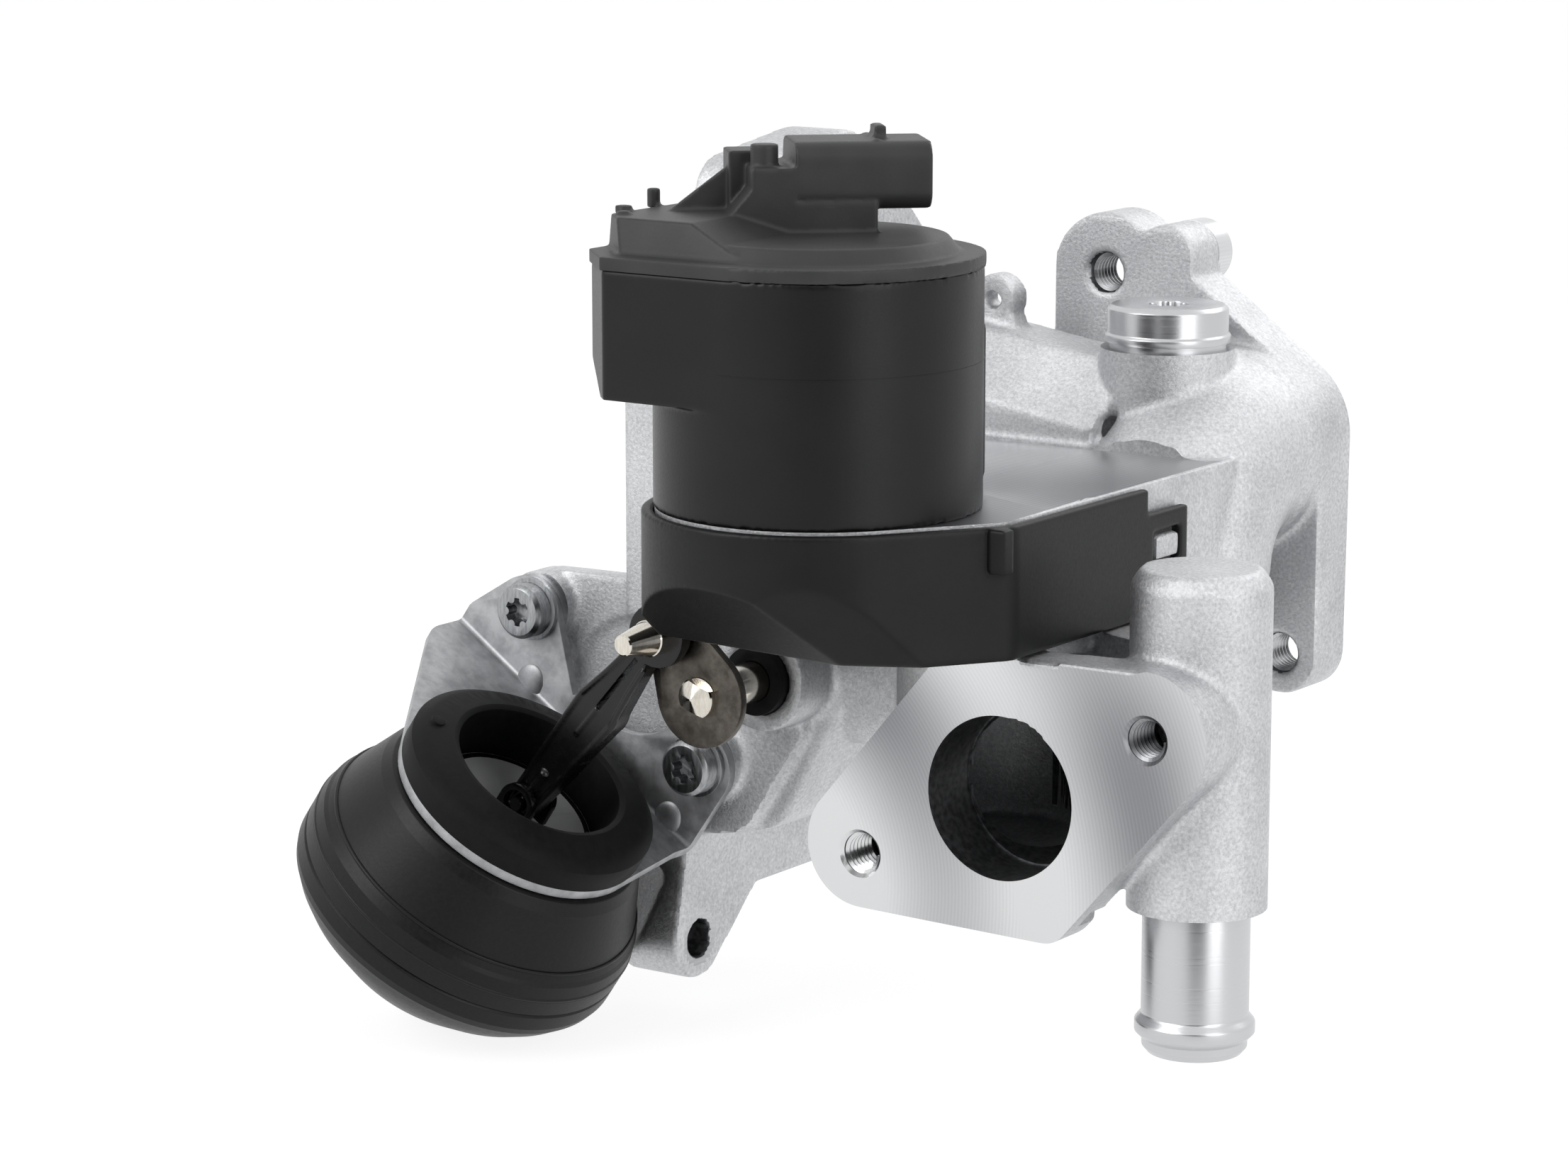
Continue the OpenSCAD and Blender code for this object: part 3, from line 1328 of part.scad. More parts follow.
// Piston: a cup with a raised post that holds the link's foot
module piston() {
    t = 1.6;
    cheek_y = link_pocket_y;
    color([0.42, 0.42, 0.43]) on_actuator() {
        rotate_extrude(convexity = 6) polygon([
            [0, -11.6], [7, -11.6], [dish_r - 1.4, -9.8], [dish_r, -9.8], [dish_r, -13], [piston_tube_r, -14],
            [piston_tube_r, plate_z], [plate_r, plate_z], [plate_r, plate_z - t],
            [piston_tube_r - t, plate_z - t], [piston_tube_r - t, -14.4], [7, -13.2], [0, -13.2]
        ]);
        // Two cheeks that hold the link's foot, with play round its stubs
        difference() {
            for (s = [-1, 1]) {
                translate([0, cheek_y + s * (link_t / 2 + 0.5 + cheek_t / 2), 0]) cheek();
            }
            translate([0, 0, foot_z]) rotate([90, 0, 0])
                cylinder(h = 60, r = stub_r + foot_play, center = true);
        }
    }
}

module cheek() {
    translate([0, cheek_t / 2, 0]) rotate([90, 0, 0]) linear_extrude(cheek_t) {
        translate([0, foot_z]) circle(stub_r + foot_play + 1.3);
        translate([-stub_r - foot_play - 1.3, -12]) square([2 * (stub_r + foot_play + 1.3), 12 + foot_z]);
    }
}

module actuator_spring() {
    color(steel) on_actuator() coil(11, 0.9, -52.8, -16.2, 6, 96);
}

valve_housing();
coolant_spigot();
duct_plug();
plug_washer();
clip_cover();
motor_housing();
motor_cap();
cap_seal();
connector_terminals();
circuit_board();
position_sensor();
motor_can();
motor_magnets();
brush_holder();
motor_brushes();
motor_bearings();
motor_screws();
rotor_shaft();
armature_core();
armature_winding();
commutator();
sensor_magnet();
drive_pinion();
middle_gear();
middle_gear_axle();
lifting_gear();
guide_sleeve();
stem_guide();
stem_seal();
valve_seat();
valve_stem();
poppet();
lift_pin();
spring_retainer();
return_spring();
flap_bushes();
shaft_seal();
bypass_shaft();
bypass_flap();
flap_rivets();
crank_lever();
crank_pin();
link_arm();
actuator_bracket();
bracket_screws();
actuator_collar();
upper_shell();
lower_shell();
vacuum_nipple();
diaphragm();
piston();
actuator_spring();
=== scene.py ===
"""Looks of the EGR valve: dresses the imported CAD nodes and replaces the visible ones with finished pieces."""

import json
import math

import bmesh
import bpy
from mathutils import Matrix, Vector

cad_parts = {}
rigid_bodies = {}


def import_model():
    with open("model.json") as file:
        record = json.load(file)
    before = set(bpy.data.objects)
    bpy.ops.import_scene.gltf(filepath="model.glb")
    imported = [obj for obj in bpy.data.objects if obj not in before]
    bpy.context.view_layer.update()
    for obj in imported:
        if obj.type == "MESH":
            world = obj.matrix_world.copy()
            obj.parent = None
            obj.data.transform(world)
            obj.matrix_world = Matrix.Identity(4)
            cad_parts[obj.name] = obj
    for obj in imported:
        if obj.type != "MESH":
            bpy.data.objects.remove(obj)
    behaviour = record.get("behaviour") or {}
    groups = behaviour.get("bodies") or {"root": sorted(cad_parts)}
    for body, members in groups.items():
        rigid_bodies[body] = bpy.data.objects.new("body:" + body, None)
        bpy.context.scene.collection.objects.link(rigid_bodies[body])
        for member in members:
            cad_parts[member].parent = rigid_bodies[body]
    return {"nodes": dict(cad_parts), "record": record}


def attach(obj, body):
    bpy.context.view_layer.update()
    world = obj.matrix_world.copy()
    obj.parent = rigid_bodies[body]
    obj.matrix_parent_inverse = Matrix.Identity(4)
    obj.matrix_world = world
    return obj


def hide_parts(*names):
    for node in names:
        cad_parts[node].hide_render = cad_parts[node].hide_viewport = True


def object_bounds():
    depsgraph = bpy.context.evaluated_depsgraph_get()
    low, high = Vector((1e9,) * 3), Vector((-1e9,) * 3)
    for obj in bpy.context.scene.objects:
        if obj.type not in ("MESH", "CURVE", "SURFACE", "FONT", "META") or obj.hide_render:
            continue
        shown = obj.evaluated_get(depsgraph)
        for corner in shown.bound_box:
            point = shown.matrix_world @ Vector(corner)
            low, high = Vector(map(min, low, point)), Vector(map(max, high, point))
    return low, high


for leftover in list(bpy.data.objects):
    bpy.data.objects.remove(leftover)
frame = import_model()
cad_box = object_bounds()
NODES = frame["nodes"]
RECORD = frame["record"]
BODY = {node: body for body, nodes in RECORD["behaviour"]["bodies"].items() for node in nodes}
JOINTS = {joint["name"]: joint for joint in RECORD["behaviour"]["joints"]}
HOLES = [mount for mount in RECORD["mounts"] if mount["kind"] in ("bore", "threaded_hole")]
MM = 0.001
UP = Vector((0, 0, 1))


# ---------------------------------------------------------------- materials

def linear(colour):
    """sRGB hex to the linear colour that Blender's sockets take."""
    values = [int(colour[i:i + 2], 16) / 255 for i in (1, 3, 5)]
    return [v / 12.92 if v <= 0.04045 else ((v + 0.055) / 1.055) ** 2.4 for v in values] + [1.0]


def add(tree, kind, **settings):
    """Adds a node. Each setting is a property, or an input's value or the socket that feeds it."""
    node = tree.nodes.new(kind)
    sockets = {s.name.replace(" ", "_").lower(): s for s in reversed(node.inputs)}
    for name, value in settings.items():
        if name.startswith("in") and name[2:].isdigit():
            socket = node.inputs[int(name[2:])]
        elif name in sockets:
            socket = sockets[name]
        else:
            setattr(node, name, value)
            continue
        if isinstance(value, bpy.types.NodeSocket):
            tree.links.new(value, socket)
        else:
            socket.default_value = value
    return node


def material(name, colour, **shader_values):
    """A new Principled material. Returns it with its tree, its shader and its object coordinates."""
    made = bpy.data.materials.new(name)
    made.use_nodes = True
    tree = made.node_tree
    shader = tree.nodes["Principled BSDF"]
    shader.inputs["Base Color"].default_value = linear(colour)
    for key, value in shader_values.items():
        shader.inputs[key.replace("_", " ")].default_value = value
    place = add(tree, "ShaderNodeTexCoord").outputs["Object"]
    return made, tree, shader, place


def per_mm(size):
    """The scale of a pattern whose features are about this many millimetres across."""
    return 1000 / size


def noise(tree, place, size, detail, roughness=0.5):
    """Noise whose features are about this many millimetres across."""
    return add(tree, "ShaderNodeTexNoise", vector=place, scale=per_mm(size), detail=detail,
               roughness=roughness).outputs[0]


def computed(tree, operation, *values):
    """The result of a sum on numbers and sockets."""
    inputs = {f"in{k}": value for k, value in enumerate(values)}
    return add(tree, "ShaderNodeMath", operation=operation, **inputs).outputs[0]


def seen_directly(tree):
    """One on rays from the camera and on those that a glossy or a clear surface sends on."""
    rays = add(tree, "ShaderNodeLightPath")
    seen = computed(tree, "MAXIMUM", rays.outputs["Is Camera Ray"], rays.outputs["Is Glossy Ray"])
    return computed(tree, "MAXIMUM", seen, rays.outputs["Is Transmission Ray"])


def two_tone(tree, shader, factor, dark, light, low=0.35, high=0.65):
    """Colours a surface between two tones by a pattern."""
    ramp = add(tree, "ShaderNodeMapRange", value=factor, from_min=low, from_max=high)
    mix = add(tree, "ShaderNodeMix", data_type="RGBA", factor=ramp.outputs[0])
    mix.inputs[6].default_value = linear(dark)
    mix.inputs[7].default_value = linear(light)
    tree.links.new(mix.outputs[2], shader.inputs["Base Color"])


def relief(tree, shader, height, strength, distance=0.0002, normal=None):
    """Bump from a pattern, on top of another bump if one is given."""
    bump = add(tree, "ShaderNodeBump", strength=strength, distance=distance, height=height)
    if normal is not None:
        tree.links.new(normal, bump.inputs["Normal"])
    tree.links.new(bump.outputs["Normal"], shader.inputs["Normal"])
    return bump.outputs["Normal"]


def roughness_from(tree, shader, factor, low, high):
    """Varies the gloss by a pattern."""
    span = add(tree, "ShaderNodeMapRange", value=factor, to_min=low, to_max=high)
    tree.links.new(span.outputs[0], shader.inputs["Roughness"])


def cast_aluminium():
    # Die-cast aluminium silicon alloy, blasted with fine grit: a bright, matt, grainy skin
    # that still shines a little
    made, tree, shader, place = material("cast_aluminium_blasted", "#BFC0C2", Metallic=1.0, Roughness=0.46)
    grit = noise(tree, place, 0.7, 5.0, 0.75)
    cloud = noise(tree, place, 16, 2.0)
    speckle = computed(tree, "MULTIPLY_ADD", grit, 0.75, 0.12)
    tone = computed(tree, "MULTIPLY_ADD", cloud, 0.25, speckle)
    two_tone(tree, shader, tone, "#B0B1B4", "#E2E3E4", 0.48, 0.78)
    # The grit is drawn coarser than its real 0.2 mm so that it shows at this size
    skin = relief(tree, shader, grit, 0.55, 0.0003)
    relief(tree, shader, cloud, 0.2, 0.0008, skin)
    roughness_from(tree, shader, grit, 0.34, 0.56)
    return made


def machined_aluminium():
    # The same alloy milled flat: satin, with the cutter's wide arcs and fine feed marks across the face. The
    # wide arcs, centred off to one side, also paint a dark-to-light reflection across each face
    made, tree, shader, place = material("milled_aluminium", "#C4C5C7", Metallic=1.0, Roughness=0.26)
    sweep = add(tree, "ShaderNodeMapping", vector=place, location=(0.06, 0.0, 0.02))
    arcs_and_painted_sheen = add(tree, "ShaderNodeTexWave", vector=sweep.outputs[0], wave_type="RINGS", rings_direction="Y",
               scale=per_mm(150))
    feed = add(tree, "ShaderNodeTexWave", vector=sweep.outputs[0], wave_type="RINGS", rings_direction="Y",
               scale=per_mm(2.4), distortion=0.3, detail=1.0, detail_scale=2.0)
    cloud = noise(tree, place, 45, 0.0)
    arced_painted_sheen = computed(tree, "MULTIPLY_ADD", arcs_and_painted_sheen.outputs["Fac"], 0.45, cloud)
    tone = computed(tree, "MULTIPLY_ADD", feed.outputs["Fac"], 0.06, arced_painted_sheen)
    # The tone runs from dark to light across a face: painted reflection on top of the real cutter marks
    two_tone(tree, shader, tone, "#88898C", "#D6D7D8", 0.4, 1.0)
    relief(tree, shader, feed.outputs["Fac"], 0.1, 0.00005)
    roughness_from(tree, shader, arcs_and_painted_sheen.outputs["Fac"], 0.36, 0.22)
    return made


def bored_aluminium():
    # Bores and threads, where little light gets in: their colour is darkened as painted shade
    made, tree, shader, place = material("bored_aluminium", "#5A5B5D", Metallic=1.0, Roughness=0.45)
    rings = noise(tree, place, 1.2, 3.0)
    two_tone(tree, shader, rings, "#58595B", "#7C7D7F")
    relief(tree, shader, rings, 0.1, 0.0001)
    roughness_from(tree, shader, rings, 0.38, 0.56)
    return made


def turned_aluminium():
    # Bar stock turned on a lathe: bright, with fine rings round its axis that draw reflections out along it
    made, tree, shader, place = material("turned_aluminium", "#C6C7C9", Metallic=1.0, Roughness=0.3)
    along = add(tree, "ShaderNodeSeparateXYZ", vector=place).outputs["Z"]
    rings = add(tree, "ShaderNodeTexNoise", noise_dimensions="1D", w=along, scale=per_mm(0.5), detail=5.0,
                roughness=0.7)
    relief(tree, shader, rings.outputs[0], 0.16, 0.00008)
    roughness_from(tree, shader, rings.outputs[0], 0.2, 0.42)
    return made


def moulded_plastic(name, dark, light, low, high, texture=0.5, depth=0.14, shine=0.22):
    # Glass-filled nylon from a spark-eroded mould: nearly black, with a fine even grain that scatters the gloss
    made, tree, shader, place = material(name, dark, Roughness=0.5, Specular_IOR_Level=shine)
    grain = noise(tree, place, texture, 3.0, 0.6)
    flow = noise(tree, place, 14, 2.0)
    two_tone(tree, shader, flow, dark, light)
    # The grain is drawn at about twice its real size
    relief(tree, shader, grain, depth, 0.00012)
    roughness_from(tree, shader, grain, low, high)
    return made


def moulded_rubber():
    # Black moulded rubber: matt and slightly dusty, with a soft broad sheen
    made, tree, shader, place = material("moulded_rubber", "#0C0C0D", Roughness=0.55, Specular_IOR_Level=0.16)
    dust = noise(tree, place, 2.2, 4.0, 0.7)
    two_tone(tree, shader, dust, "#09090A", "#131314")
    relief(tree, shader, dust, 0.12, 0.0001)
    roughness_from(tree, shader, dust, 0.5, 0.7)
    return made


def coated_steel():
    # Pressed steel under a thin black powder coat: orange peel and a soft satin gloss
    made, tree, shader, place = material("powder_coated_steel", "#0C0C0D", Roughness=0.4,
                                         Specular_IOR_Level=0.26)
    peel = noise(tree, place, 0.8, 3.0, 0.6)
    two_tone(tree, shader, peel, "#09090A", "#111112")
    relief(tree, shader, peel, 0.22, 0.00012)
    roughness_from(tree, shader, peel, 0.34, 0.5)
    return made


def plated_sheet(name, dark, light, low, high):
    # Zinc-plated steel sheet: grey, faintly mottled by the passivation, with rolling marks
    made, tree, shader, place = material(name, light, Metallic=1.0, Roughness=0.36)
    mottle = noise(tree, place, 3.5, 5.0, 0.65)
    fine = noise(tree, place, 0.45, 2.0)
    two_tone(tree, shader, mottle, dark, light)
    relief(tree, shader, fine, 0.16, 0.0001)
    roughness_from(tree, shader, mottle, low, high)
    return made


def ground_metal(name, dark, light, low, high, metallic=1.0):
    # Metal finished by grinding, drawing or sintering: a plain tone with short fine scratches
    made, tree, shader, place = material(name, light, Metallic=metallic, Roughness=high)
    streak = add(tree, "ShaderNodeMapping", vector=place, scale=(1.0, 1.0, 0.15))
    scratch = noise(tree, streak.outputs[0], 0.5, 4.0, 0.6)
    two_tone(tree, shader, scratch, dark, light)
    relief(tree, shader, scratch, 0.08, 0.00006)
    roughness_from(tree, shader, scratch, low, high)
    return made


cast = cast_aluminium()
milled = machined_aluminium()
# The bores' material is darker than the cut metal: painted shade
shaded_bore = bored_aluminium()
turned = turned_aluminium()
drum_black = moulded_plastic("black_nylon", "#0A0A0B", "#101011", 0.3, 0.46, shine=0.3)
cover_black = moulded_plastic("black_nylon_textured", "#0B0B0C", "#121213", 0.36, 0.54, 0.7, shine=0.26)
cap_grey = moulded_plastic("dark_grey_nylon", "#343435", "#3E3E3F", 0.4, 0.56, shine=0.3)
link_black = moulded_plastic("glossy_black_acetal", "#070708", "#0C0C0D", 0.2, 0.32, 1.4, 0.04, 0.4)
piston_grey = moulded_plastic("grey_nylon", "#8C8D8E", "#9C9D9E", 0.36, 0.55)
natural_nylon = moulded_plastic("natural_nylon", "#D2CDBE", "#DEDACD", 0.35, 0.5)
board_green = moulded_plastic("coated_board", "#17492B", "#20593A", 0.3, 0.45)
rubber = moulded_rubber()
coated = coated_steel()
sheet = plated_sheet("zinc_plated_sheet", "#98999B", "#B4B5B7", 0.42, 0.58)
lever_plate = plated_sheet("zinc_nickel_plated_lever", "#4A4641", "#6B6660", 0.34, 0.5)
bright_pin = ground_metal("polished_stainless_steel", "#C9C3B8", "#DAD5CC", 0.08, 0.18)
plain_steel = ground_metal("machined_steel", "#8C8E91", "#A5A7AA", 0.22, 0.38)
screw_zinc = ground_metal("zinc_plated_screw", "#8A8C8E", "#A9ABAD", 0.24, 0.4)
copper = ground_metal("bare_copper", "#A5603C", "#BE7A52", 0.22, 0.4)
bronze = ground_metal("sintered_bronze", "#8E6E3E", "#A88650", 0.34, 0.5)
magnet = ground_metal("sintered_magnet", "#3A3A3E", "#47474B", 0.5, 0.66, 0.4)
carbon = ground_metal("pressed_carbon", "#202021", "#2B2B2C", 0.5, 0.66, 0.2)

FINISH = {
    "valve_housing": cast, "coolant_spigot": turned, "duct_plug": turned, "plug_washer": turned,
    "clip_cover": cover_black, "motor_housing": drum_black, "motor_cap": cap_grey, "cap_seal": rubber,
    "connector_terminals": copper, "circuit_board": board_green, "position_sensor": drum_black,
    "motor_can": plain_steel, "motor_magnets": magnet, "brush_holder": natural_nylon, "motor_brushes": carbon,
    "motor_bearings": bronze, "motor_screws": screw_zinc, "rotor_shaft": bright_pin,
    "armature_core": plain_steel,
    "armature_winding": copper, "commutator": copper, "sensor_magnet": magnet, "drive_pinion": plain_steel,
    "middle_gear": natural_nylon, "middle_gear_axle": bright_pin, "lifting_gear": natural_nylon,
    "guide_sleeve": plain_steel, "stem_guide": bronze, "stem_seal": rubber, "valve_seat": plain_steel,
    "valve_stem": bright_pin, "poppet": plain_steel, "lift_pin": bright_pin, "spring_retainer": plain_steel,
    "return_spring": plain_steel, "flap_bushes": bronze, "shaft_seal": rubber, "bypass_shaft": bright_pin,
    "bypass_flap": plain_steel, "flap_rivets": plain_steel, "crank_lever": lever_plate, "crank_pin": bright_pin,
    "link_arm": link_black, "actuator_bracket": sheet, "bracket_screws": screw_zinc, "actuator_collar": rubber,
    "upper_shell": coated, "lower_shell": coated, "vacuum_nipple": coated, "diaphragm": rubber,
    "piston": piston_grey, "actuator_spring": plain_steel,
}
for name, node in NODES.items():
    node.data.materials.clear()
    node.data.materials.append(FINISH[name])


# ---------------------------------------------------------------- pieces

def placed(name, bm):
    """Makes a bmesh into an object of the scene."""
    mesh = bpy.data.meshes.new(name)
    bm.to_mesh(mesh)
    bm.free()
    made = bpy.data.objects.new(name, mesh)
    bpy.context.scene.collection.objects.link(made)
    return made


def finished(name, bm, finish, node, replaced=True):
    """Makes a bmesh into a piece that rides with a CAD node's body and, when it replaces the node, hides that
    node.
    """
    piece = placed(name, bm)
    piece.data.materials.append(finish)
    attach(piece, BODY[node])
    if replaced:
        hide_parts(node)
    return piece


def merged_copy(node):
    """The CAD node's triangles as one welded bmesh."""
    bm = bmesh.new()
    bm.from_mesh(NODES[node].data)
    bmesh.ops.remove_doubles(bm, verts=bm.verts, dist=1e-6)
    return bm


def evaluated(made):
    """The shape that an object's modifiers give it, as a bmesh."""
    result = bmesh.new()
    result.from_mesh(made.evaluated_get(bpy.context.evaluated_depsgraph_get()).to_mesh())
    return result


def discard(*objects):
    """Removes working objects with their meshes."""
    for made in objects:
        mesh = made.data
        bpy.data.objects.remove(made)
        bpy.data.meshes.remove(mesh)


def with_modifiers(bm, stack):
    """Runs modifiers on a bmesh and returns the result."""
    work = placed("work", bm)
    for kind, values in stack:
        modifier = work.modifiers.new(kind.lower(), kind)
        for key, value in values.items():
            setattr(modifier, key, value)
    result = evaluated(work)
    discard(work)
    return result


def soften(bm, voxel, rounds, keep):
    """Rounds every edge and inner corner, as a mould or a casting leaves them."""
    return with_modifiers(bm, [
        ("REMESH", {"mode": "VOXEL", "voxel_size": voxel * MM}),
        ("SMOOTH", {"factor": 0.5, "iterations": rounds}),
        ("DECIMATE", {"decimate_type": "COLLAPSE", "ratio": keep}),
    ])


def shade(bm, sharp=0.7):
    """Smooth faces that break only at sharp edges."""
    for face in bm.faces:
        face.smooth = True
    for edge in bm.edges:
        edge.smooth = len(edge.link_faces) == 2 and edge.calc_face_angle(0.0) < sharp


def moulded(node, voxel, rounds, keep):
    """A piece whose every edge is rounded off, in place of its CAD node."""
    bm = soften(merged_copy(node), voxel, rounds, keep)
    shade(bm, 0.8)
    return finished(node + "_finished", bm, FINISH[node], node)


def eased(node, width, sharp=0.7):
    """The CAD node's shape with its sharp edges broken, as machined and pressed pieces have."""
    bm = merged_copy(node)
    bmesh.ops.dissolve_limit(bm, angle_limit=0.004, verts=bm.verts, edges=bm.edges)
    corners = [e for e in bm.edges if len(e.link_faces) == 2 and e.calc_face_angle(0.0) > 0.5]
    bmesh.ops.bevel(bm, geom=corners, offset=width * MM, segments=2, profile=0.5, affect="EDGES",
                    clamp_overlap=True, material=-1)
    shade(bm, sharp)
    return finished(node + "_finished", bm, FINISH[node], node)


def bar(bm, start, axis, length, r1, r2=None, steps=64):
    """A closed round bar from a point along an axis."""
    axis = Vector(axis).normalized()
    turn = UP.rotation_difference(axis).to_matrix().to_4x4()
    middle = Vector(start) + axis * length / 2
    bmesh.ops.create_cone(bm, cap_ends=True, segments=steps, radius1=r1, radius2=r1 if r2 is None else r2,
                          depth=length, matrix=Matrix.Translation(middle) @ turn)


def stacked_bars(bm, centre, sections):
    """Bars end to end towards the viewer: the Y where each starts, its length and both its radii, in mm."""
    for start, length, r1, r2 in sections:
        bar(bm, Vector((centre.x, start, centre.z)) * MM, (0, -1, 0), length * MM, r1 * MM, r2 * MM, steps=96)


def block(bm, low, high):
    """A box between two corners."""
    low, high = Vector(low), Vector(high)
    size = Matrix.Diagonal((*(high - low), 1))
    bmesh.ops.create_cube(bm, size=1, matrix=Matrix.Translation((low + high) / 2) @ size)


def ring(bm, place, profile):
    """A ring turned round the Z axis of a place, from points of radius and height in mm."""
    line = [bm.verts.new(place @ Vector((r * MM, 0, z * MM))) for r, z in profile]
    edges = [bm.edges.new(pair) for pair in zip(line, line[1:] + line[:1])]
    bmesh.ops.spin(bm, geom=line + edges, cent=place.translation, axis=place.to_3x3() @ UP,
                   angle=math.tau, steps=160, use_merge=True)
    bmesh.ops.recalc_face_normals(bm, faces=bm.faces)


def bead(radius, height, size):
    """The profile of a round bead, for a ring."""
    return [(radius + size * math.cos(a), height + size * math.sin(a))
            for a in (math.tau * k / 12 for k in range(12))]


def cut_away(bm, tool):
    """Takes a closed tool out of a closed body and leaves crisp edges."""
    body, cutter = placed("cut", bm), placed("cut", tool)
    modifier = body.modifiers.new("cut", "BOOLEAN")
    modifier.operation = "DIFFERENCE"
    modifier.solver = "MANIFOLD"
    modifier.object = cutter
    result = evaluated(body)
    discard(body, cutter)
    return result


def anchor(joint):
    """Where a joint's axis is, in mm."""
    return Vector([value / MM for value in JOINTS[joint]["pos_m"]])


# Casting: rounded as cast, then milled and bored where the real one is
OUTLET_Y = 124.0
MILLED_FACES = [
    # direction, plane in mm, boxes in mm that hold the face and nothing else
    ((0, -1, 0), 0.0, [((-46, -30), (46, 26.6)), ((12, 0), (46, 30))]),
    ((0, 1, 0), OUTLET_Y, [((-70, -10), (20, 105))]),
    ((0, 0, 1), 53.0, [((-67.5, -39), (5, 76))]),
    ((0, 0, -1), -20.0, [((15, 4), (47, 36))]),
    ((0, 0, 1), 72.0, [((-35.5, 81), (-5.5, 109.6))]),
    ((0, -1, 0), 21.0, [((-132, 10.6), (-115, 28)), ((-90.4, -16.4), (-74, 0.4))]),
]


def face_box(direction, plane, low, high, start, end):
    """Corners of a box over a milled face, from start to end millimetres outside its plane."""
    axis = [abs(d) for d in direction].index(1)
    near, far = sorted((plane + direction[axis] * start, plane + direction[axis] * end))
    others = [i for i in range(3) if i != axis]
    a, b = [0.0] * 3, [0.0] * 3
    a[axis], b[axis] = near * MM, far * MM
    for i, k in enumerate(others):
        a[k], b[k] = low[i] * MM, high[i] * MM
    return Vector(a), Vector(b)


def inside(point, low, high, slack=2e-5):
    """Whether a point is in a box."""
    return all(l - slack <= p <= h + slack for p, l, h in zip(point, low, high))


def mouth_of(hole):
    """The middle of a hole's mouth, on the machined face that it opens in."""
    mouth = Vector(hole["pos_m"])
    mouth.y = 0.0 if hole["axis"][1] < 0 else OUTLET_Y * MM
    return mouth


# The faces are first raised, so that rounding leaves them enough to mill off
RAISED = 3
bm = merged_copy("valve_housing")
for direction, plane, boxes in MILLED_FACES:
    spans = [face_box(direction, plane, low, high, -0.05, 0.05) for low, high in boxes]
    picked = [f for f in bm.faces if f.normal.dot(Vector(direction)) > 0.99
              and any(all(inside(v.co, *span) for v in f.verts) for span in spans)]
    moved = bmesh.ops.extrude_face_region(bm, geom=picked)["geom"]
    bmesh.ops.delete(bm, geom=picked, context="FACES")
    bmesh.ops.translate(bm, vec=Vector(direction) * RAISED * MM,
                        verts=[v for v in moved if isinstance(v, bmesh.types.BMVert)])
bm = soften(bm, 0.8, 5, 0.4)
for direction, plane, boxes in MILLED_FACES:
    for low, high in boxes:
        tool = bmesh.new()
        block(tool, *face_box(direction, plane, low, high, 0, 2 * RAISED))
        bm = cut_away(bm, tool)
# Drills start outside the mouth, and each tapped hole is chamfered there
PROUD = 4
for hole in HOLES:
    axis = Vector(hole["axis"])
    length = hole["dims"]["length_mm"] * MM
    radius = hole["dims"]["r_mm"] * MM
    tool = bmesh.new()
    top = Vector(hole["pos_m"]) + axis * PROUD * MM
    bar(tool, top, -axis, length + PROUD * MM, radius + 0.02 * MM, steps=96)
    bm = cut_away(bm, tool)
    if hole["kind"] == "threaded_hole":
        tool = bmesh.new()
        bar(tool, mouth_of(hole) + axis * 0.5 * MM, -axis, 1.3 * MM, radius + 1.2 * MM, radius - 0.1 * MM)
        bm = cut_away(bm, tool)
shade(bm, 0.6)
casting = finished("casting", bm, cast, "valve_housing")
for finish in (milled, shaded_bore):
    casting.data.materials.append(finish)
# The casting's second and third material
MILLED, SHADED_BORE = 1, 2
# How far past its mount a hole's darker skin of painted shade goes, in mm: the inlet port leads into the gas
# way, which is painted dark in the same way
WAY_IN = {"inlet_port": 60}
MILLED_SPANS = [(Vector(direction), [face_box(direction, plane, low, high, -0.02, 0.02) for low, high in boxes])
                for direction, plane, boxes in MILLED_FACES]
for polygon in casting.data.polygons:
    for direction, spans in MILLED_SPANS:
        if polygon.normal.dot(direction) > 0.995 and any(inside(polygon.center, *span) for span in spans):
            polygon.material_index = MILLED
    for hole in HOLES:
        radius = hole["dims"]["r_mm"] * MM
        deep = hole["dims"]["length_mm"] + WAY_IN.get(hole["name"], 2)
        away = polygon.center - Vector(hole["pos_m"])
        along = away.dot(Vector(hole["axis"]))
        off = (away - Vector(hole["axis"]) * along).length
        if off < radius + 0.2 * MM and -deep * MM < along < -0.3 * MM:
            # Faces inside a hole take the darker material, as painted shade
            polygon.material_index = SHADED_BORE
        elif off < radius + 1.6 * MM and abs(along) < 2 * MM:
            polygon.material_index = MILLED


# Threads: a helical ridge in each tapped hole, M8 with a pitch of 1.25 mm
PITCH = 1.25
STEPS_A_TURN = 32
bm = bmesh.new()
for hole in HOLES:
    if hole["kind"] != "threaded_hole":
        continue
    out = Vector(hole["axis"])
    mouth = mouth_of(hole)
    radius = hole["dims"]["r_mm"]
    turns = int((hole["dims"]["length_mm"] - 1.5) / PITCH)
    start = mouth - out * 1.0 * MM
    ridge = [bm.verts.new(start + Vector((radius + dr, 0, 0)) * MM - out * along * MM)
             for dr, along in ((0.05, -0.52), (-0.62, -0.08), (-0.62, 0.08), (0.05, 0.52))]
    edges = [bm.edges.new(pair) for pair in zip(ridge, ridge[1:])]
    bmesh.ops.spin(bm, geom=ridge + edges, cent=mouth, axis=-out, dvec=-out * PITCH * MM / STEPS_A_TURN,
                   angle=math.tau * turns, steps=STEPS_A_TURN * turns, use_duplicate=False)
bmesh.ops.recalc_face_normals(bm, faces=bm.faces)
shade(bm, 0.9)
finished("thread_ridges", bm, milled, "valve_housing", replaced=False)

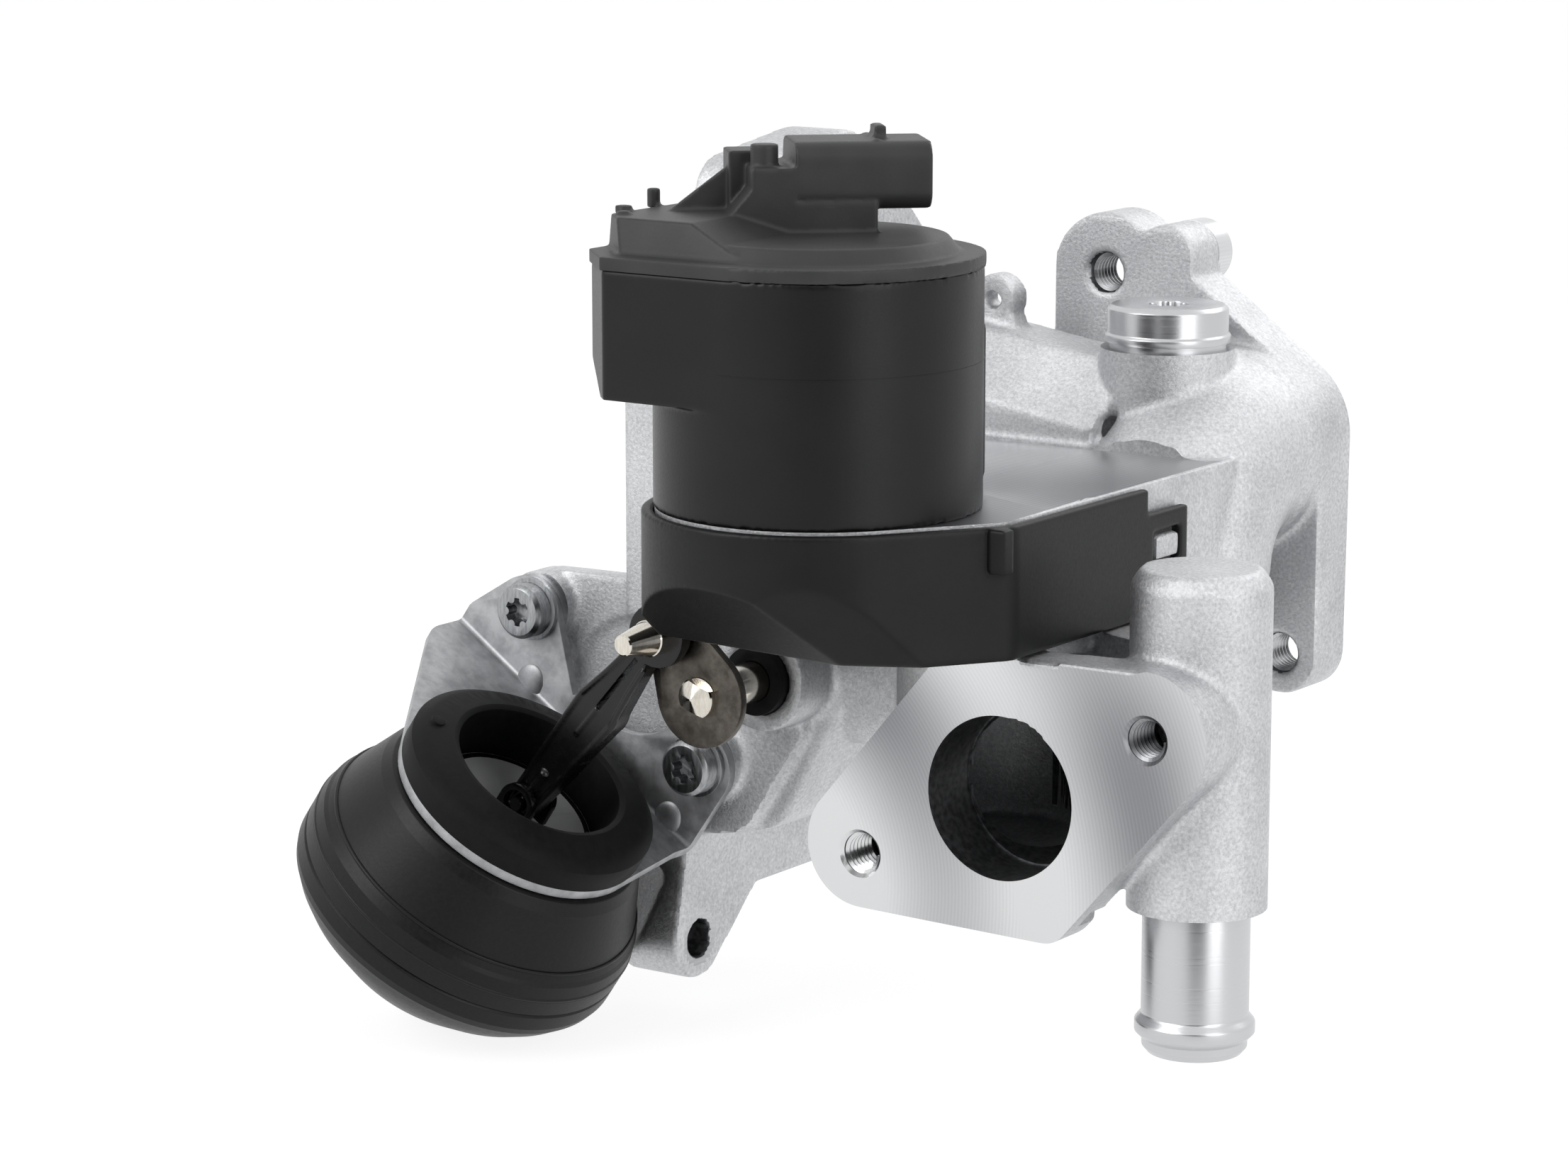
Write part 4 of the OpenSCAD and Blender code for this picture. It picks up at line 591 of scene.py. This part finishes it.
# Plastic, rubber and sheet pieces leave their tools with rounded edges
for node, voxel, rounds, keep in (("motor_housing", 0.5, 4, 0.3), ("motor_cap", 0.4, 3, 0.35),
                                  ("clip_cover", 0.45, 3, 0.35)):
    moulded(node, voxel, rounds, keep)
for node, width in (("crank_lever", 0.25), ("crank_pin", 0.2), ("bracket_screws", 0.2), ("duct_plug", 0.25),
                    ("coolant_spigot", 0.15), ("piston", 0.2), ("shaft_seal", 0.2),
                    ("actuator_collar", 0.4), ("actuator_bracket", 0.25)):
    eased(node, width)
for node in ("upper_shell", "lower_shell"):
    eased(node, 0.15, 0.16)


# Link: moulded lips along its edges, an eye ring, a foot with a rib, and the slit beside the eye. The actuator
# leans by TILT, and FOOT is where the link's foot sits in its piston at rest. Places are in mm
TILT = math.radians(34.8)
FOOT = Vector((-104.8374, -7.5, -13.2407))
CRANK = anchor("link_swing")
ALONG = (CRANK - FOOT).normalized()
ACROSS = Vector((-ALONG.z, 0, ALONG.x))
REACH = (CRANK - FOOT).length


def on_link(x, y, z):
    """A point in the link's frame, in mm: x from foot to eye, y across, z towards the viewer."""
    return (FOOT + ALONG * x + ACROSS * y + Vector((0, -z, 0))) * MM


def rail(bm, points, radius):
    """A rounded lip through several points."""
    for start, end in zip(points, points[1:]):
        bar(bm, start, end - start, (end - start).length, radius * MM, steps=16)
    for point in points:
        bmesh.ops.create_uvsphere(bm, u_segments=16, v_segments=8, radius=radius * MM,
                                  matrix=Matrix.Translation(point))


bm = merged_copy("link_arm")
for side in (-1, 1):
    rail(bm, [on_link(x, side * y, 2.0) for x, y in
              ((-1.5, 2.6), (3, 2.9), (15, 3.7), (22, 4.3), (28, 4.6), (36, 3.3), (REACH - 7.5, 2.6))], 0.62)
rail(bm, [on_link(-2.4, 0, 1.7), on_link(8.5, 0, 1.9)], 1.15)
rail(bm, [on_link(-2.4, y, 1.9) for y in (-2.4, 2.4)], 0.9)
rail(bm, [on_link(21, 0, 1.8), on_link(28, 0, 1.8)], 0.6)
bar(bm, on_link(REACH, 0, -0.3), (0, -1, 0), 2.5 * MM, 6.3 * MM)
bm = soften(bm, 0.2, 3, 0.4)
tool = bmesh.new()
frame_of_link = Matrix((ALONG, ACROSS, Vector((0, -1, 0)))).transposed().to_4x4()
bmesh.ops.create_cube(tool, size=1, matrix=Matrix.Translation(on_link(36.5, 0, 0)) @ frame_of_link
                      @ Matrix.Diagonal((13 * MM, 1.15 * MM, 12 * MM, 1)))
bm = cut_away(bm, tool)
shade(bm, 0.8)
finished("link_arm_finished", bm, link_black, "link_arm")

# Crank pin: a bold cone with a broken edge at its flat tip
bm = bmesh.new()
stacked_bars(bm, CRANK, ((-9.3, 2.9, 3.6, 3.6), (-12.2, 0.3, 3.6, 3.4), (-12.5, 7.4, 3.4, 2.1),
                         (-19.9, 0.3, 2.1, 1.8)))
shade(bm, 0.3)
finished("crank_pin_cone", bm, bright_pin, "crank_pin", replaced=False)

# Shaft: its end stands through the lever with two flats and a shallow turned point. FLAT is half the width over
# the flats, and SHAFT_END_Y is where the end takes over from the CAD shaft, in mm
SHAFT = anchor("flap_turn")
FLAT = 2.75
SHAFT_END_Y = -5.1


def flat_cuts(low, high):
    """Blocks that leave two flats on the shaft's end, between two values of Y in mm."""
    tool = bmesh.new()
    for near, far in ((-12, -FLAT), (FLAT, 12)):
        block(tool, Vector((-10, low, near)) * MM, Vector((10, high, far)) * MM)
    turned_by = Matrix.Rotation(math.radians(20), 4, "Y")
    bmesh.ops.transform(tool, matrix=Matrix.Translation(SHAFT * MM) @ turned_by, verts=tool.verts)
    return tool


bm = merged_copy("bypass_shaft")
tool = bmesh.new()
block(tool, Vector((SHAFT.x - 10, -14, SHAFT.z - 10)) * MM,
      Vector((SHAFT.x + 10, SHAFT_END_Y, SHAFT.z + 10)) * MM)
bm = cut_away(bm, tool)
shade(bm)
finished("bypass_shaft_finished", bm, bright_pin, "bypass_shaft")
bm = bmesh.new()
stacked_bars(bm, SHAFT, ((-4.9, 1.2, 3.95, 3.95), (-6.1, 0.25, 3.95, 3.65), (-6.35, 1.3, 3.65, 0.25)))
bmesh.ops.remove_doubles(bm, verts=bm.verts, dist=1e-6)
# The caps between the bars go, so that the cuts find one closed body
inner = [f for f in bm.faces if abs(abs(f.normal.y) - 1) < 1e-4
         and -6.4 * MM < f.calc_center_median().y < -5.0 * MM]
bmesh.ops.delete(bm, geom=inner, context="FACES_ONLY")
bm = cut_away(bm, flat_cuts(-12, -4))
shade(bm, 0.3)
finished("shaft_end", bm, bright_pin, "bypass_shaft", replaced=False)

# The piston's cheeks stand in the dark of the collar and are painted black there as painted shade: the faces
# above CHEEK_FROM along its axis and within CHEEK_REACH of it, in mm from the link's foot
CHEEK_FROM = -3.2
CHEEK_REACH = 5
piston_mesh = bpy.data.objects["piston_finished"].data
# The link's black material paints the cheeks' shade
piston_mesh.materials.append(link_black)
for polygon in piston_mesh.polygons:
    away = polygon.center - FOOT * MM
    up = away.x * math.sin(TILT) + away.z * math.cos(TILT)
    aside = abs(away.x * math.cos(TILT) - away.z * math.sin(TILT))
    if up > CHEEK_FROM * MM and aside < CHEEK_REACH * MM and abs(away.y) < CHEEK_REACH * MM:
        polygon.material_index = 1

# Pressed gussets across the bracket's fold
bm = bmesh.new()
LEANING = Matrix.Rotation(TILT, 4, "Y")
GUSSET = Matrix.Diagonal((3.3 * MM, 1.1 * MM, 4.0 * MM, 1))
for place in ((-124.6, 19.2, 3.6), (-90.2, 19.2, -20.4)):
    bmesh.ops.create_uvsphere(bm, u_segments=32, v_segments=16, radius=1.0,
                              matrix=Matrix.Translation(Vector(place) * MM) @ LEANING @ GUSSET)
shade(bm)
finished("bracket_gussets", bm, sheet, "actuator_bracket", replaced=False)

# Parting line round the motor, left by the two halves of the mould
bm = bmesh.new()
MOTOR = anchor("rotor_spin")
ring(bm, Matrix.Translation(Vector((MOTOR.x, MOTOR.y, 0)) * MM),
     ((30.5, 80.6), (30.83, 80.65), (30.83, 80.8), (30.5, 80.85)))
shade(bm, 0.5)
finished("parting_line", bm, drum_black, "motor_housing", replaced=False)

# Beads pressed into the actuator's upper shell
bm = bmesh.new()
ACTUATOR = Matrix.Translation(Vector((-100.5, -10, -7)) * MM) @ LEANING
ring(bm, ACTUATOR, bead(32.95, -22.2, 0.45))
ring(bm, ACTUATOR, bead(34.75, -27.6, 0.5))
shade(bm, 1.0)
finished("shell_beads", bm, coated, "upper_shell", replaced=False)

# Dowel boss that stands out of the milled outlet face
bm = bmesh.new()
ring(bm, Matrix.Translation(Vector((-31, 0, 87.5)) * MM) @ Matrix.Rotation(-math.pi / 2, 4, "X"),
     ((3.0, 123.0), (6.8, 123.0), (6.8, 128.6), (6.4, 129.0), (3.4, 129.0), (3.0, 128.6)))
shade(bm, 0.6)
finished("dowel_boss", bm, milled, "valve_housing", replaced=False)


# ---------------------------------------------------------------- camera, light and floor

def lamp(name, place, aim, size, power, size_y=None):
    """An area lamp that faces a point."""
    data = bpy.data.lights.new(name, "AREA")
    data.shape = "RECTANGLE"
    data.size, data.size_y = size, size_y or size
    data.energy = power
    made = bpy.data.objects.new(name, data)
    made.location = place
    made.rotation_euler = (Vector(aim) - Vector(place)).to_track_quat("-Z", "Y").to_euler()
    bpy.context.scene.collection.objects.link(made)


centre = Vector((-0.04, 0.03, 0.03))
lamp("key_softbox", (-0.45, -0.8, 0.7), centre, 0.6, 5.0)
lamp("right_softbox", (0.9, -0.3, 0.4), centre, 0.5, 3.0, 0.9)
lamp("back_strip", (0.2, 0.8, 0.7), centre, 0.8, 2.0, 0.4)

# The photo's camera: its focal length and width in pixels, solved from the round edges that the photo shows
FOCAL_PX = 6512
PHOTO_PX = 2212
SENSOR = 36
camera_data = bpy.data.cameras.new("camera")
camera_data.sensor_width = SENSOR
camera_data.lens = FOCAL_PX * SENSOR / PHOTO_PX
camera_data.clip_end = 50.0
camera = bpy.data.objects.new("camera", camera_data)
camera.location = (0.44048, -0.70885, 0.20206)
camera.rotation_euler = (math.radians(79.0), 0.0, math.radians(34.6))
bpy.context.scene.collection.objects.link(camera)
bpy.context.scene.camera = camera

world = bpy.data.worlds.new("studio")
bpy.context.scene.world = world
world.use_nodes = True
sky = world.node_tree
sky.nodes.clear()
seen = seen_directly(sky)
soft = add(sky, "ShaderNodeBackground", color=linear("#FFFFFF"), strength=0.42)
white = add(sky, "ShaderNodeBackground", color=linear("#FFFFFF"), strength=1.0)
mixed = add(sky, "ShaderNodeMixShader", in0=seen, in1=soft.outputs[0], in2=white.outputs[0])
add(sky, "ShaderNodeOutputWorld", surface=mixed.outputs[0])

# Black card behind the camera: flat faces and the drum's middle reflect it, as they do the dark half
# of a studio
bm = bmesh.new()
aim = Vector((0.9, -1.35, 0.42))
bmesh.ops.create_grid(bm, x_segments=1, y_segments=1, size=0.62, matrix=Matrix.Translation(aim)
                      @ UP.rotation_difference(centre - aim).to_matrix().to_4x4())
card = placed("black_card", bm)
card.data.materials.append(material("black_velvet", "#050505", Roughness=1.0, Specular_IOR_Level=0.0)[0])

# Floor just under the part
lowest = cad_box[0].z
bm = bmesh.new()
bmesh.ops.create_grid(bm, x_segments=1, y_segments=1, size=8.0,
                      matrix=Matrix.Translation((0, 0, lowest - 0.0003)))
floor = placed("floor", bm)
# Pale studio paper: white in the camera and in reflections, and still taking the object's shadow
paper, tree, shader, _ = material("studio_paper", "#F2F2F2", Roughness=0.9)
share = computed(tree, "MULTIPLY", seen_directly(tree), 0.7)
glow = add(tree, "ShaderNodeEmission", color=linear("#FFFFFF"), strength=1.25)
mixed = add(tree, "ShaderNodeMixShader", in0=share, in1=shader.outputs[0], in2=glow.outputs[0])
tree.links.new(mixed.outputs[0], tree.nodes["Material Output"].inputs["Surface"])
floor.data.materials.append(paper)

bpy.context.scene.view_settings.view_transform = "Standard"
